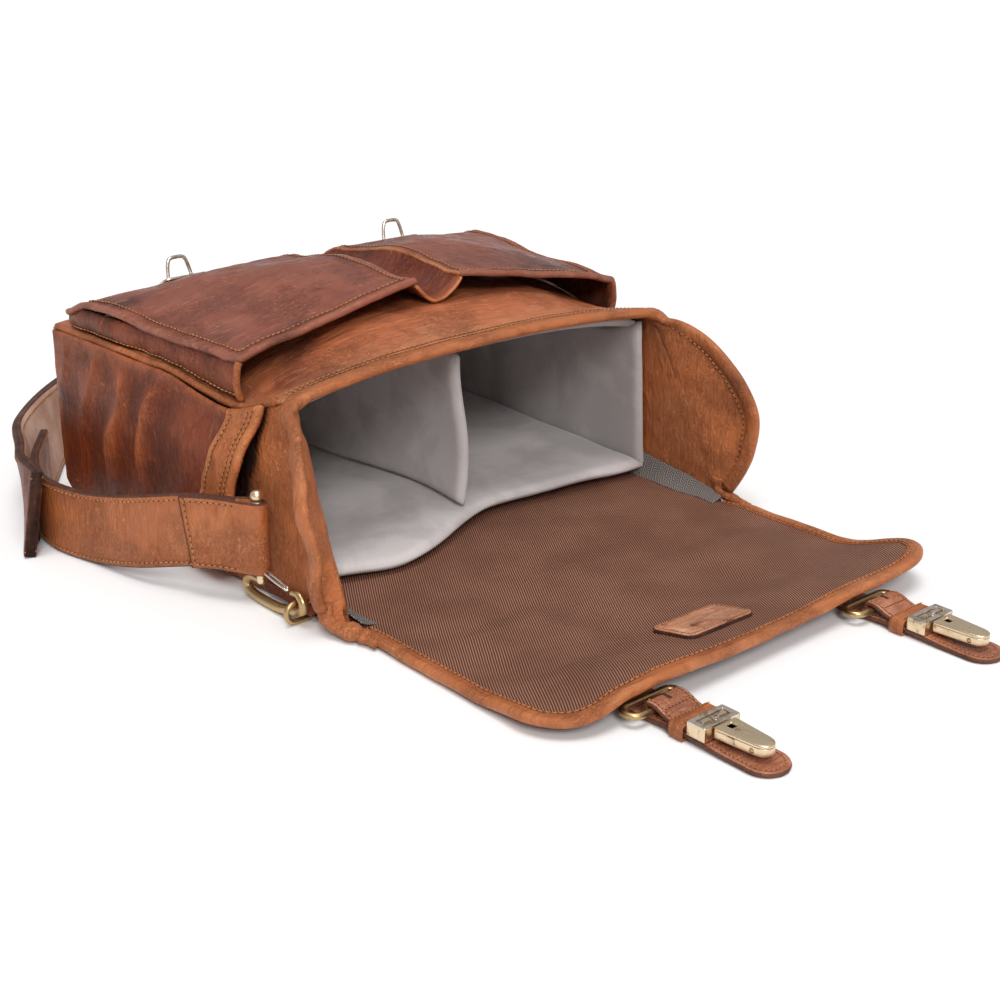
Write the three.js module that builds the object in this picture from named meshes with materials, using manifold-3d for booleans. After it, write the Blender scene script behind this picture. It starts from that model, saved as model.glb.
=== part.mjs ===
// A leather camera bag that lies on its back with its flap laid open on the surface in front of its mouth.
// Millimetres, +Z up. +X runs along the mouth, +Y from the mouth to the bottom of the bag.
// The origin is on the lower face of the back panel, in the middle of the bag's width, beside the flap's hinge line.
import * as THREE from "three";
import { mergeVertices } from "three/addons/utils/BufferGeometryUtils.js";
import Module from "manifold-3d";

const wasm = await Module();
wasm.setup();

// Driving dimensions of the bag's body
const GAP = 0.4; // clearance between pieces that touch
const SKIN = 2.6; // thickness of a leather panel
const MOUTH_Y = 48;
const BOTTOM_Y = 258;
const FLOOR_HALF = { mouth: 138, bottom: 150 }; // half width at the back panel
const TOP_HALF = { mouth: 132, bottom: 150 }; // half width at the front panel
const BODY_TOP = 104; // nominal height of the gussets
const PAD = 6; // thickness of the padded insert
const SLOT_TOP = 8.6; // underside of the insert's back pad, above the flat slip slot

// Driving dimensions of the flap
const HINGE_Y = -8;
const FOLD_Y = -134.5;
const FLAP_FRONT_Y = -160;
const FLAP_CORNER = 28;
const FLAP_HALF = { hinge: 136, front: 141 };
const STRAP_X = 80; // distance of each closure from the middle
const FLAP_STRAP = { start: -62, end: -156 }; // where each strap is sewn to the flap's outer face
const STRAP_HALF = 11; // half width of each closure's strap
const FLAP_LIFT = 9.2; // height that the closures' buckles lift the flap's front edge

// Driving dimensions of the shoulder strap
const STRAP_HEIGHT = 40;
const STRAP_THICK = 4.5;
const BAR = { x: 150, y: 54, low: 12, high: 60, radius: 2.5 }; // the bar of each snap hook

const clamp01 = (t) => Math.min(1, Math.max(0, t));
const lerp = (a, b, t) => a + (b - a) * t;
const smooth = (a, b, v) => {
  const t = clamp01((v - a) / (b - a));
  return t * t * (3 - 2 * t);
};

// A value that passes smoothly through [position, value] stations
function through(stations, v) {
  for (let i = 1; i < stations.length; i++) {
    const [a, va] = stations[i - 1];
    const [b, vb] = stations[i];
    if (v <= b || i === stations.length - 1) return lerp(va, vb, smooth(a, b, v));
  }
  return stations[0][1];
}

// ---- Surfaces of the body ----

function halfWidth(y, z) {
  const t = clamp01((y - MOUTH_Y) / (BOTTOM_Y - MOUTH_Y));
  const low = lerp(FLOOR_HALF.mouth, FLOOR_HALF.bottom, t);
  const high = lerp(TOP_HALF.mouth, TOP_HALF.bottom, t);
  return lerp(low, high, z / BODY_TOP);
}

const gussetTop = (y) => through([[48, 100], [90, 93], [155, 102], [245, 104]], y);
const crown = (y) => through([[48, 13], [95, 32], [160, 24], [BOTTOM_Y, 8]], y);

function frontTop(x, y) {
  const share = Math.min(1, Math.abs(x) / halfWidth(y, BODY_TOP));
  return gussetTop(y) + GAP + SKIN + crown(y) * (1 - share ** 2.2);
}

// The line along which each ear folds inwards, in the gusset's plane
const CHORD = { low: { y: -2, z: 6 }, high: { y: 47, z: 104 } };
const chordY = (z) => lerp(CHORD.low.y, CHORD.high.y, (z - CHORD.low.z) / (CHORD.high.z - CHORD.low.z));

function gussetOuter(y, z) {
  const along = clamp01((y - chordY(z)) / (BOTTOM_Y - chordY(z)));
  return halfWidth(y, z) + 2 * Math.sin(Math.PI * along) * Math.sin(Math.PI * clamp01(z / BODY_TOP));
}

// ---- Surfaces of the front pockets ----

const POCKET = { inner: 16, mouthInner: 92, mouthOuter: 88, end: 247 };
const pocketOuter = (y) => halfWidth(y, BODY_TOP) - 1.5;
const rimInner = (y) => through([[92, 142], [150, 146], [210, 139], [POCKET.end, 128]], y);
const rimOuter = (y) => through([[88, 122.5], [240, 126], [POCKET.end, 124]], y);

function pocketTop(x, y) {
  const share = clamp01((Math.abs(x) - POCKET.inner) / (pocketOuter(y) - POCKET.inner));
  const swell = 8 * Math.sin(Math.PI * share) * Math.sin(Math.PI * clamp01((y - 90) / 150));
  return lerp(rimInner(y), rimOuter(y), share) + swell;
}

// ---- Surfaces of the flap ----

const FLAP_SHOULDER_Y = FLAP_FRONT_Y + FLAP_CORNER;
const FLAP_FLAT_HALF = FLAP_HALF.front - FLAP_CORNER;

// Half width of the flap at y, measured to a line that runs inside its edge by the inset
function flapHalf(y, inset = 0) {
  if (y > FLAP_SHOULDER_Y) {
    const share = (y - FLAP_SHOULDER_Y) / (HINGE_Y - FLAP_SHOULDER_Y);
    return lerp(FLAP_HALF.front, FLAP_HALF.hinge, share) - inset;
  }
  const radius = FLAP_CORNER - inset;
  return FLAP_FLAT_HALF + Math.sqrt(Math.max(0, radius ** 2 - (FLAP_SHOULDER_Y - y) ** 2));
}

// Height of the flap's lower face: it lies over its two straps, and their buckles lift its front edge
function flapUnder(x, y) {
  const out = Math.abs(x);
  const between = lerp(0.6, 1, smooth(20, STRAP_X - 14, out));
  const beyond = 1 - 0.85 * smooth(STRAP_X + 16, FLAP_HALF.front - 8, out);
  const lift = FLAP_LIFT * (out < STRAP_X ? between : beyond) * (1 - smooth(FLAP_FRONT_Y + 6, -92, y));
  const overStrap = 1 - smooth(17, 36, Math.abs(out - STRAP_X));
  const room = 2.6 * overStrap * (1 - smooth(FLAP_STRAP.start + 2, FLAP_STRAP.start + 18, y));
  return 0.3 + Math.max(room, lift);
}

// ---- Building blocks ----

function volumeOf(points, faces) {
  let sum = 0;
  for (let i = 0; i < faces.length; i += 3) {
    const [a, b, c] = [points[faces[i]], points[faces[i + 1]], points[faces[i + 2]]];
    sum += a.dot(new THREE.Vector3().crossVectors(b, c)) / 6;
  }
  return sum;
}

// A closed solid between two surfaces, each a function of (u, v) from 0 to 1 that gives [x, y, z]
function between(first, second, columns, rows) {
  const points = [];
  for (const surface of [first, second])
    for (let i = 0; i <= columns; i++)
      for (let j = 0; j <= rows; j++) points.push(new THREE.Vector3(...surface(i / columns, j / rows)));
  const sheet = (columns + 1) * (rows + 1);
  const at = (side, i, j) => side * sheet + i * (rows + 1) + j;
  const faces = [];
  const quad = (a, b, c, d) => faces.push(a, b, c, a, c, d);
  for (let i = 0; i < columns; i++)
    for (let j = 0; j < rows; j++) {
      quad(at(0, i, j), at(0, i + 1, j), at(0, i + 1, j + 1), at(0, i, j + 1));
      quad(at(1, i, j), at(1, i, j + 1), at(1, i + 1, j + 1), at(1, i + 1, j));
    }
  for (let i = 0; i < columns; i++) {
    quad(at(0, i, 0), at(1, i, 0), at(1, i + 1, 0), at(0, i + 1, 0));
    quad(at(0, i, rows), at(0, i + 1, rows), at(1, i + 1, rows), at(1, i, rows));
  }
  for (let j = 0; j < rows; j++) {
    quad(at(0, 0, j), at(0, 0, j + 1), at(1, 0, j + 1), at(1, 0, j));
    quad(at(0, columns, j), at(1, columns, j), at(1, columns, j + 1), at(0, columns, j + 1));
  }
  if (volumeOf(points, faces) < 0)
    for (let i = 0; i < faces.length; i += 3) [faces[i + 1], faces[i + 2]] = [faces[i + 2], faces[i + 1]];
  const geometry = new THREE.BufferGeometry().setFromPoints(points);
  geometry.setIndex(faces);
  geometry.computeVertexNormals();
  return geometry;
}

function ellipse(halfX, halfY) {
  const shape = new THREE.Shape();
  shape.absellipse(0, 0, halfX, halfY, 0, 2 * Math.PI);
  return shape;
}

// A rod or cord-like edge along a smooth line through the points
function rod(points, halfA, halfB, steps, sides = 8) {
  const path = new THREE.CatmullRomCurve3(points.map((p) => new THREE.Vector3(...p)));
  return new THREE.ExtrudeGeometry(ellipse(halfA, halfB), {
    steps,
    curveSegments: sides,
    bevelEnabled: false,
    extrudePath: path,
  });
}

function box(low, high) {
  const size = high.map((h, i) => h - low[i]);
  const geometry = new THREE.BoxGeometry(...size);
  geometry.translate(...low.map((l, i) => l + size[i] / 2));
  return geometry;
}

function cylinder(radius, length, axis, centre, sides = 16) {
  const geometry = new THREE.CylinderGeometry(radius, radius, length, sides);
  if (axis === "x") geometry.rotateZ(Math.PI / 2);
  if (axis === "z") geometry.rotateX(Math.PI / 2);
  geometry.translate(...centre);
  return geometry;
}

function solidOf(geometry) {
  const bare = geometry.clone();
  bare.deleteAttribute("normal");
  bare.deleteAttribute("uv");
  const merged = mergeVertices(bare, 1e-3);
  return new wasm.Manifold(
    new wasm.Mesh({
      numProp: 3,
      vertProperties: merged.attributes.position.array,
      triVerts: new Uint32Array(merged.index.array),
    }),
  );
}

function geometryOf(solid) {
  const mesh = solid.getMesh();
  const geometry = new THREE.BufferGeometry();
  geometry.setAttribute("position", new THREE.Float32BufferAttribute(mesh.vertProperties, 3));
  geometry.setIndex(Array.from(mesh.triVerts));
  geometry.computeVertexNormals();
  return geometry;
}

const joined = (...parts) => geometryOf(parts.map(solidOf).reduce((a, b) => a.add(b)));
const cut = (part, ...tools) => geometryOf(tools.map(solidOf).reduce((a, b) => a.subtract(b), solidOf(part)));

// ---- Materials ----

const paint = (color, roughness, metalness = 0) => ({ color, roughness, metalness });
const LEATHER = paint(0x7a3b1c, 0.5);
const TAN = paint(0xa85a26, 0.5);
const TWILL = paint(0x5d4234, 0.9);
const VELOUR = paint(0xa8a5a3, 0.95);
const BRASS = paint(0x9a8252, 0.35, 0.9);
const NICKEL = paint(0xa39c92, 0.35, 0.9);

const bag = new THREE.Group();

function add(name, geometry, look) {
  const mesh = new THREE.Mesh(geometry, new THREE.MeshStandardMaterial(look));
  mesh.name = name;
  bag.add(mesh);
  return mesh;
}

const SIDES = [["left", -1], ["right", 1]];

// ---- Body panels ----

function addPanels() {
  const START_Y = -5;
  const BACK_THICK = 3;
  const END_Y = BOTTOM_Y + 3;
  const back = (z) => (u, v) => {
    const y = v < 0.5 ? lerp(START_Y, MOUTH_Y, 2 * v) : lerp(MOUTH_Y, END_Y, 2 * v - 1);
    return [lerp(-1, 1, u) * halfWidth(y, 0), y, z];
  };
  add("back_panel", between(back(0), back(BACK_THICK), 1, 2), LEATHER);

  const front = (drop) => (u, v) => {
    const y = lerp(MOUTH_Y + 1.8, END_Y, v);
    const x = lerp(-1, 1, u) * halfWidth(y, BODY_TOP);
    return [x, y, frontTop(x, y) - drop];
  };
  add("front_panel", between(front(0), front(SKIN), 14, 12), LEATHER);

  const bottom = (y) => (u, v) => {
    const x = lerp(-1, 1, u) * (halfWidth(BOTTOM_Y, BODY_TOP) - 1);
    return [x, y, lerp(BACK_THICK + GAP, frontTop(x, END_Y) - SKIN - 0.8, v)];
  };
  add("bottom_panel", between(bottom(BOTTOM_Y + GAP), bottom(END_Y), 8, 2), LEATHER);

  for (const [side, s] of SIDES) {
    const wall = (inwards) => (u, v) => {
      const nominal = lerp(BACK_THICK + GAP, BODY_TOP, v);
      const y = lerp(chordY(nominal) + 1.5, BOTTOM_Y, u);
      const z = lerp(BACK_THICK + GAP, gussetTop(y) - GAP, v);
      return [s * (gussetOuter(y, z) - inwards), y, z];
    };
    add(`gusset_${side}`, between(wall(0), wall(SKIN), 10, 5), LEATHER);
    addSlipPocket(side, s);
    addEar(side, s);
  }
}

// An open flat pocket on the outside of each gusset, with its slanted mouth towards the bag's mouth
function addSlipPocket(side, s) {
  const mouthAt = (z) => lerp(116, 60, z / 99);
  const surface = (stand) => (u, v) => {
    const nominal = lerp(4, BODY_TOP - 8, v);
    const y = lerp(mouthAt(nominal), BOTTOM_Y, u);
    const z = lerp(4, gussetTop(y) - 4, v);
    const room = lerp(9, 0.8, smooth(0.25, 1, u));
    return [s * (gussetOuter(y, z) + room + stand), y, z];
  };
  add(`slip_pocket_${side}`, between(surface(0), surface(2.2), 10, 5), LEATHER);
}

// The gusset's leather beyond the mouth. It stands beside the mouth and folds in before the flap closes.
const EARS = {
  left: { toMouth: [5, 104], toHinge: [-12, 40], flare: 15 },
  right: { toMouth: [-16, 98], toHinge: [-60, 28], flare: 8 },
};

function addEar(side, s) {
  const ear = EARS[side];
  const rim = new THREE.CubicBezierCurve(
    new THREE.Vector2(CHORD.high.y, CHORD.high.z),
    new THREE.Vector2(...ear.toMouth),
    new THREE.Vector2(...ear.toHinge),
    new THREE.Vector2(CHORD.low.y, CHORD.low.z),
  );
  const surface = (inwards) => (u, v) => {
    const t = lerp(0.04, 0.92, v);
    const out = rim.getPoint(t);
    const rootZ = lerp(CHORD.high.z, CHORD.low.z, t);
    const share = lerp(0.04, 1, u);
    const y = lerp(chordY(rootZ), out.x, share) - 1.5 * (1 - u);
    const z = lerp(rootZ, out.y, share);
    const x = halfWidth(MOUTH_Y, rootZ) + ear.flare * Math.sin(Math.PI * t) * share;
    return [s * (x - inwards), y, z];
  };
  add(`ear_${side}`, between(surface(0), surface(SKIN), 4, 8), LEATHER);
}

function addMouthBinding() {
  const points = [];
  for (let i = 0; i <= 12; i++) {
    const x = lerp(-122, 122, i / 12);
    points.push([x, MOUTH_Y - 2.2, frontTop(x, MOUTH_Y + 2) - SKIN / 2]);
  }
  add("mouth_binding", rod(points, 3.2, 3, 24), TAN);
}

// ---- Front pockets ----

function addFrontPocket(side, s) {
  const face = (drop) => (u, v) => {
    const start = lerp(POCKET.mouthInner, POCKET.mouthOuter, u);
    const y = lerp(start, POCKET.end, v);
    const x = lerp(POCKET.inner, pocketOuter(y), u);
    return [s * x, y, pocketTop(x, y) - drop];
  };
  add(`pocket_face_${side}`, between(face(0), face(SKIN), 8, 9), LEATHER);

  // One strip makes the outer side wall and then turns along the bottom end of the pocket
  const TURN = 0.7;
  const strip = (inwards) => (u, v) => {
    let [x, y] = [0, 0];
    if (u <= TURN + 1e-6) {
      y = Math.min(lerp(90, POCKET.end, u / TURN), POCKET.end - inwards);
      x = pocketOuter(y) - inwards;
    } else {
      y = POCKET.end - inwards;
      x = Math.min(lerp(pocketOuter(POCKET.end), 19, (u - TURN) / (1 - TURN)), pocketOuter(y) - inwards);
    }
    const low = frontTop(x, y) + 1.4;
    const high = pocketTop(x, y) - SKIN - 1;
    return [s * x, y, lerp(low, high, v)];
  };
  add(`pocket_wall_${side}`, between(strip(0), strip(SKIN), 10, 1), LEATHER);
}

// The trough that joins the two front pockets
function addValley() {
  const THICK = 2;
  const surface = (drop) => (u, v) => {
    const across = lerp(-1, 1, u);
    const y = lerp(POCKET.mouthInner, POCKET.end, v);
    const floor = frontTop(0, y) + THICK + 1;
    const rim = Math.max(rimInner(y) - 0.5, floor + 0.5);
    return [across * (POCKET.inner - 1.2), y, lerp(floor, rim, Math.abs(across) ** 1.7) - drop];
  };
  add("pocket_valley", between(surface(0), surface(THICK), 8, 9), LEATHER);
}

// A wire loop on a plate stands on each front pocket, where the closure's clasp takes hold
function addCatch(side, s) {
  const LOOP_Y = 234;
  const at = (y) => new THREE.Vector3(s * STRAP_X, y, pocketTop(STRAP_X, y));
  const along = at(LOOP_Y + 6).sub(at(LOOP_Y - 6)).normalize();
  const across = new THREE.Vector3(1, 0, (pocketTop(s * STRAP_X + 12, LOOP_Y) - pocketTop(s * STRAP_X - 12, LOOP_Y)) / 24);
  const up = new THREE.Vector3().crossVectors(across.normalize(), along).normalize();
  const place = new THREE.Matrix4().makeBasis(across, new THREE.Vector3().crossVectors(up, across), up);
  place.setPosition(at(LOOP_Y).addScaledVector(up, 1.4));
  const plate = box([-15, -6, 0], [15, 6, 1.6]).applyMatrix4(place);
  add(`loop_plate_${side}`, plate, NICKEL);
  const wire = [[-7.5, 0, 1.9], [-7.2, 0, 6], [-6.6, 0, 12], [-5, 0, 15], [0, 0, 15.8], [5, 0, 15], [6.6, 0, 12], [7.2, 0, 6], [7.5, 0, 1.9]];
  add(`wire_loop_${side}`, rod(wire, 1.1, 1.1, 20).applyMatrix4(place), NICKEL);
}

// ---- Padded insert ----

const padOuter = (y, z) => halfWidth(y, z) - SKIN - 0.9;
const padInner = (y, z) => padOuter(y, z) - PAD;
const roofUnder = (x, y) => frontTop(x, y) - SKIN - 2 - PAD;
const INSERT_START = 56;
const INSERT_END = 250;

function addInsert() {
  const back = (z) => (u, v) => {
    const y = lerp(INSERT_START, INSERT_END, v);
    return [lerp(-1, 1, u) * (padInner(y, 12) - 0.8), y, z];
  };
  add("insert_back", between(back(SLOT_TOP), back(SLOT_TOP + PAD + 1), 2, 2), VELOUR);

  const roof = (rise) => (u, v) => {
    const y = lerp(INSERT_START, INSERT_END, v);
    const x = lerp(-1, 1, u) * (padInner(y, 95) - 0.8);
    return [x, y, roofUnder(x, y) + rise];
  };
  add("insert_front", between(roof(0), roof(PAD), 10, 10), VELOUR);

  const floor = (y) => (u, v) => {
    const z = lerp(4, 98, v);
    return [lerp(-1, 1, u) * (padInner(y, z) - 0.8), y, z];
  };
  add("insert_floor", between(floor(INSERT_END + 1), floor(INSERT_END + 1 + PAD), 2, 1), VELOUR);

  for (const [side, s] of SIDES) {
    const wall = (reach) => (u, v) => {
      const y = lerp(INSERT_START - 2, BOTTOM_Y - 0.8, u);
      const z = lerp(4, gussetTop(y) - 3, v);
      return [s * reach(y, z), y, z];
    };
    add(`insert_${side}`, between(wall(padOuter), wall(padInner), 6, 3), VELOUR);
  }

  const DIVIDER = { x: -8, thick: 7, start: 62, sway: 5 };
  const sheet = (offset) => (u, v) => {
    const y = lerp(DIVIDER.start, INSERT_END - 1, u);
    const x = DIVIDER.x + DIVIDER.sway * Math.sin(Math.PI * 2 * u) + offset;
    return [x, y, lerp(SLOT_TOP + PAD + 1.6, roofUnder(30, y) - 2, v)];
  };
  add("divider", between(sheet(-DIVIDER.thick / 2), sheet(DIVIDER.thick / 2), 10, 3), VELOUR);
}

// ---- Flap ----

function flapLayer(from, to, inset, height, columns, rows) {
  const surface = (rise) => (u, v) => {
    const y = lerp(from, to, v);
    const x = lerp(-1, 1, u) * flapHalf(y, inset);
    return [x, y, flapUnder(x, y) + rise];
  };
  return between(surface(height[0]), surface(height[1]), columns, rows);
}

function bindingRod(points, steps) {
  return rod(points.map(([x, y]) => [x, y, flapUnder(x, y) + 2.9]), 2.6, 3.2, steps);
}

function addFlap() {
  const INSET = 4.6;
  const TOP = [HINGE_Y - 3, FOLD_Y + 0.8];
  const FRONT = [FOLD_Y - 0.8, FLAP_FRONT_Y + INSET + 0.2];
  const COLUMNS = 20;
  add("flap_leather_top", flapLayer(...TOP, INSET, [0, 2.2], COLUMNS, 7), LEATHER);
  add("flap_lining_top", flapLayer(...TOP, INSET, [2.6, 3.5], COLUMNS, 7), TWILL);
  add("flap_leather_front", flapLayer(...FRONT, INSET, [0, 2.2], COLUMNS, 3), LEATHER);
  add("flap_lining_front", flapLayer(...FRONT, INSET, [2.6, 3.5], COLUMNS, 3), TWILL);

  for (const [side, s] of SIDES) {
    const points = [];
    for (let i = 0; i <= 8; i++) {
      const y = lerp(HINGE_Y - 9, FOLD_Y + 1, i / 8);
      points.push([s * flapHalf(y), y]);
    }
    add(`flap_binding_${side}`, bindingRod(points, 12), TAN);
    const strap = box([-STRAP_HALF, FLAP_STRAP.end, 0.2], [STRAP_HALF, FLAP_STRAP.start, 2.4]);
    add(`flap_strap_${side}`, strap.translate(s * STRAP_X, 0, 0), TAN);
  }

  const front = [];
  const CORNER_STEPS = 5;
  for (let i = 0; i <= CORNER_STEPS; i++) {
    const angle = lerp(0.09, Math.PI / 2, i / CORNER_STEPS);
    const x = FLAP_FLAT_HALF + FLAP_CORNER * Math.cos(angle);
    front.push([x, FLAP_SHOULDER_Y - FLAP_CORNER * Math.sin(angle)]);
  }
  const STRAIGHT = 9;
  for (let i = 1; i < STRAIGHT; i++) front.push([lerp(FLAP_FLAT_HALF, -FLAP_FLAT_HALF, i / STRAIGHT), FLAP_FRONT_Y]);
  for (let i = CORNER_STEPS; i >= 0; i--) front.push([-front[i][0], front[i][1]]);
  add("flap_binding_front", bindingRod(front, 44), TAN);

  const label = (rise) => (u, v) => {
    const [x, y] = [lerp(-26.5, 17.5, u), lerp(-131.5, -111.5, v)];
    return [x, y, flapUnder(x, y) + rise];
  };
  add("flap_label", between(label(3.9), label(5.5), 2, 2), LEATHER);
}

// ---- Closures ----

function roundedBox(halfX, halfY, radius) {
  const shape = new THREE.Shape();
  shape.moveTo(halfX, -halfY + radius);
  shape.lineTo(halfX, halfY - radius);
  shape.absarc(halfX - radius, halfY - radius, radius, 0, Math.PI / 2);
  shape.absarc(-halfX + radius, halfY - radius, radius, Math.PI / 2, Math.PI);
  shape.absarc(-halfX + radius, -halfY + radius, radius, Math.PI, 1.5 * Math.PI);
  shape.absarc(halfX - radius, -halfY + radius, radius, 1.5 * Math.PI, 2 * Math.PI);
  return shape;
}

// A side profile, [y, z] points in order, as a solid of the given half width across x
function profileSolid(points, half) {
  const shape = new THREE.Shape(points.map(([y, z]) => new THREE.Vector2(y, z)));
  const geometry = new THREE.ExtrudeGeometry(shape, { depth: 2 * half, bevelEnabled: false });
  geometry.applyMatrix4(new THREE.Matrix4().makeBasis(
    new THREE.Vector3(0, 1, 0),
    new THREE.Vector3(0, 0, 1),
    new THREE.Vector3(1, 0, 0),
  ));
  geometry.translate(-half, 0, 0);
  return geometry;
}

function addClosure(side, s) {
  const centre = s * STRAP_X;
  const HALF = STRAP_HALF;
  const put = (name, geometry, look) => add(`${name}_${side}`, geometry.translate(centre, 0, 0), look);

  // Buckle: a rounded frame whose rear bar the flap's strap holds and whose front bar the tab is folded over
  const ring = roundedBox(19, 7.8, 6);
  ring.holes.push(roundedBox(15.4, 4.2, 3.5));
  const buckle = new THREE.ExtrudeGeometry(ring, { depth: 3.6, bevelEnabled: false, curveSegments: 4 });
  put("buckle_ring", buckle.translate(0, -164, 4.4), BRASS);

  // The strap runs on under the buckle and through the keeper to its round tip
  const STRAP_FROM = FLAP_STRAP.end - 1.2;
  const TIP_Y = -235;
  const strapFace = (rise) => (u, v) => {
    const y = lerp(STRAP_FROM, TIP_Y, v);
    const past = clamp01((TIP_Y + HALF - y) / HALF);
    const half = Math.max(3.5, HALF * Math.sqrt(1 - past ** 2));
    const z = through([[TIP_Y, 0.2], [-214, 0.6], [-192, 1.9], [-176, 1.9], [STRAP_FROM, 0.4]], y);
    return [lerp(-1, 1, u) * half, y, z + rise];
  };
  put("closure_strap", between(strapFace(0), strapFace(2.2), 2, 24), TAN);

  // Tab folded over the buckle's front bar, pressed down under the keeper and held in the clasp's frame
  const tab = [
    [-167.7, 4.9], [-165.8, 5.1], [-165.6, 6.2], [-166.6, 9.4], [-168.5, 10.5], [-172.5, 10.5],
    [-178.5, 6.8], [-188.2, 6.8], [-190, 8.6], [-196, 8.6], [-196, 6.3], [-189.2, 6.2],
    [-187.4, 4.5], [-177.4, 4.5], [-172.2, 8.4], [-168, 8.4], [-167.7, 7.9],
  ];
  put("clasp_tab", profileSolid(tab, HALF - 0.3), LEATHER);

  const keeper = cut(
    box([-HALF - 2.2, -187.6, 0.1], [HALF + 2.2, -179.4, 8.6]),
    box([-HALF - 0.5, -188, 1.5], [HALF + 0.5, -179, 7.1]),
  );
  put("strap_keeper", keeper, TAN);

  // Clasp frame: a flat tube round the tab's end, with a tongue that carries the lever's pin
  const PIN = { y: -220.5, z: 7.9, radius: 1.1, length: 11 };
  const PIN_CLEARANCE = 0.2;
  const pinHole = (length) => cylinder(PIN.radius + PIN_CLEARANCE, length, "x", [0, PIN.y, PIN.z], 12);
  const tongue = joined(
    box([-HALF - 0.5, -199.5, 4.4], [HALF + 0.5, -188.9, 11.4]),
    box([-2.4, -223, 4.4], [2.4, -199, 5.4]),
    box([-1.4, -223, 5], [1.4, -217.5, 9.6]),
  );
  const frame = cut(
    tongue,
    box([-HALF + 0.2, -199, 5.6], [HALF - 0.2, -188, 10.2]),
    box([-6.5, -194.6, 9], [6.5, -191.6, 12]),
    pinHole(2 * HALF),
  );
  put("clasp_frame", frame, BRASS);
  put("lever_pin", cylinder(PIN.radius, PIN.length, "x", [0, PIN.y, PIN.z], 12), BRASS);

  // Sprung lever: a tapered channel over the tongue
  const outline = new THREE.Shape();
  outline.moveTo(7, -200.2);
  outline.lineTo(5.2, -222);
  outline.absarc(0, -222.5, 5.2, 0, -Math.PI, true);
  outline.lineTo(-7, -200.2);
  const blank = new THREE.ExtrudeGeometry(outline, { depth: 5.4, bevelEnabled: false, curveSegments: 6 });
  const lever = cut(
    blank.translate(0, 0, 6.1),
    box([-2.9, -226, 5.5], [2.9, -199, 10.3]),
    box([-1.8, -206.4, 9], [1.8, -202.8, 12]),
    pinHole(2 * HALF),
  );
  put("clasp_lever", lever, BRASS);
}

// ---- Shoulder strap and its hardware ----

// An upright band along a level line through [x, y] points; low(u) is its lower edge
function band(points, thick, height, low, columns) {
  const path = new THREE.CatmullRomCurve3(points.map(([x, y]) => new THREE.Vector3(x, y, 0)));
  const surface = (offset) => (u, v) => {
    const p = path.getPointAt(u);
    const t = path.getTangentAt(u);
    return [p.x - t.y * offset, p.y + t.x * offset, low(u) + v * height];
  };
  return between(surface(-thick / 2), surface(thick / 2), columns, 1);
}

const STRAP_LEFT = [[-152.6, 59], [-168, 88], [-181, 118], [-189, 158], [-194, 197]];
const SHOULDER_PAD = [[-203, 203], [-187, 240], [-160, 282], [-112, 338], [-55, 372], [5, 386]];
const STRAP_RIGHT = [[10, 387.5], [72, 386], [132, 358], [168, 300], [178, 220], [170, 130], [152.6, 59]];
const STRAP_RAISED = 17.5; // height of the strap's lower edge at each hook
const STRAP_LOW = 0.4;

function addShoulderStrap() {
  const leftLow = (u) => lerp(STRAP_RAISED, STRAP_LOW, smooth(0, 0.8, u));
  const rightLow = (u) => lerp(STRAP_LOW, STRAP_RAISED, smooth(0.75, 1, u));
  add("shoulder_strap_left", band(STRAP_LEFT, STRAP_THICK, STRAP_HEIGHT, leftLow, 14), TAN);
  add("shoulder_strap_right", band(STRAP_RIGHT, STRAP_THICK, STRAP_HEIGHT, rightLow, 28), TAN);
  add("shoulder_pad", band(SHOULDER_PAD, 9, 50, () => 0, 16), LEATHER);
}

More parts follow.
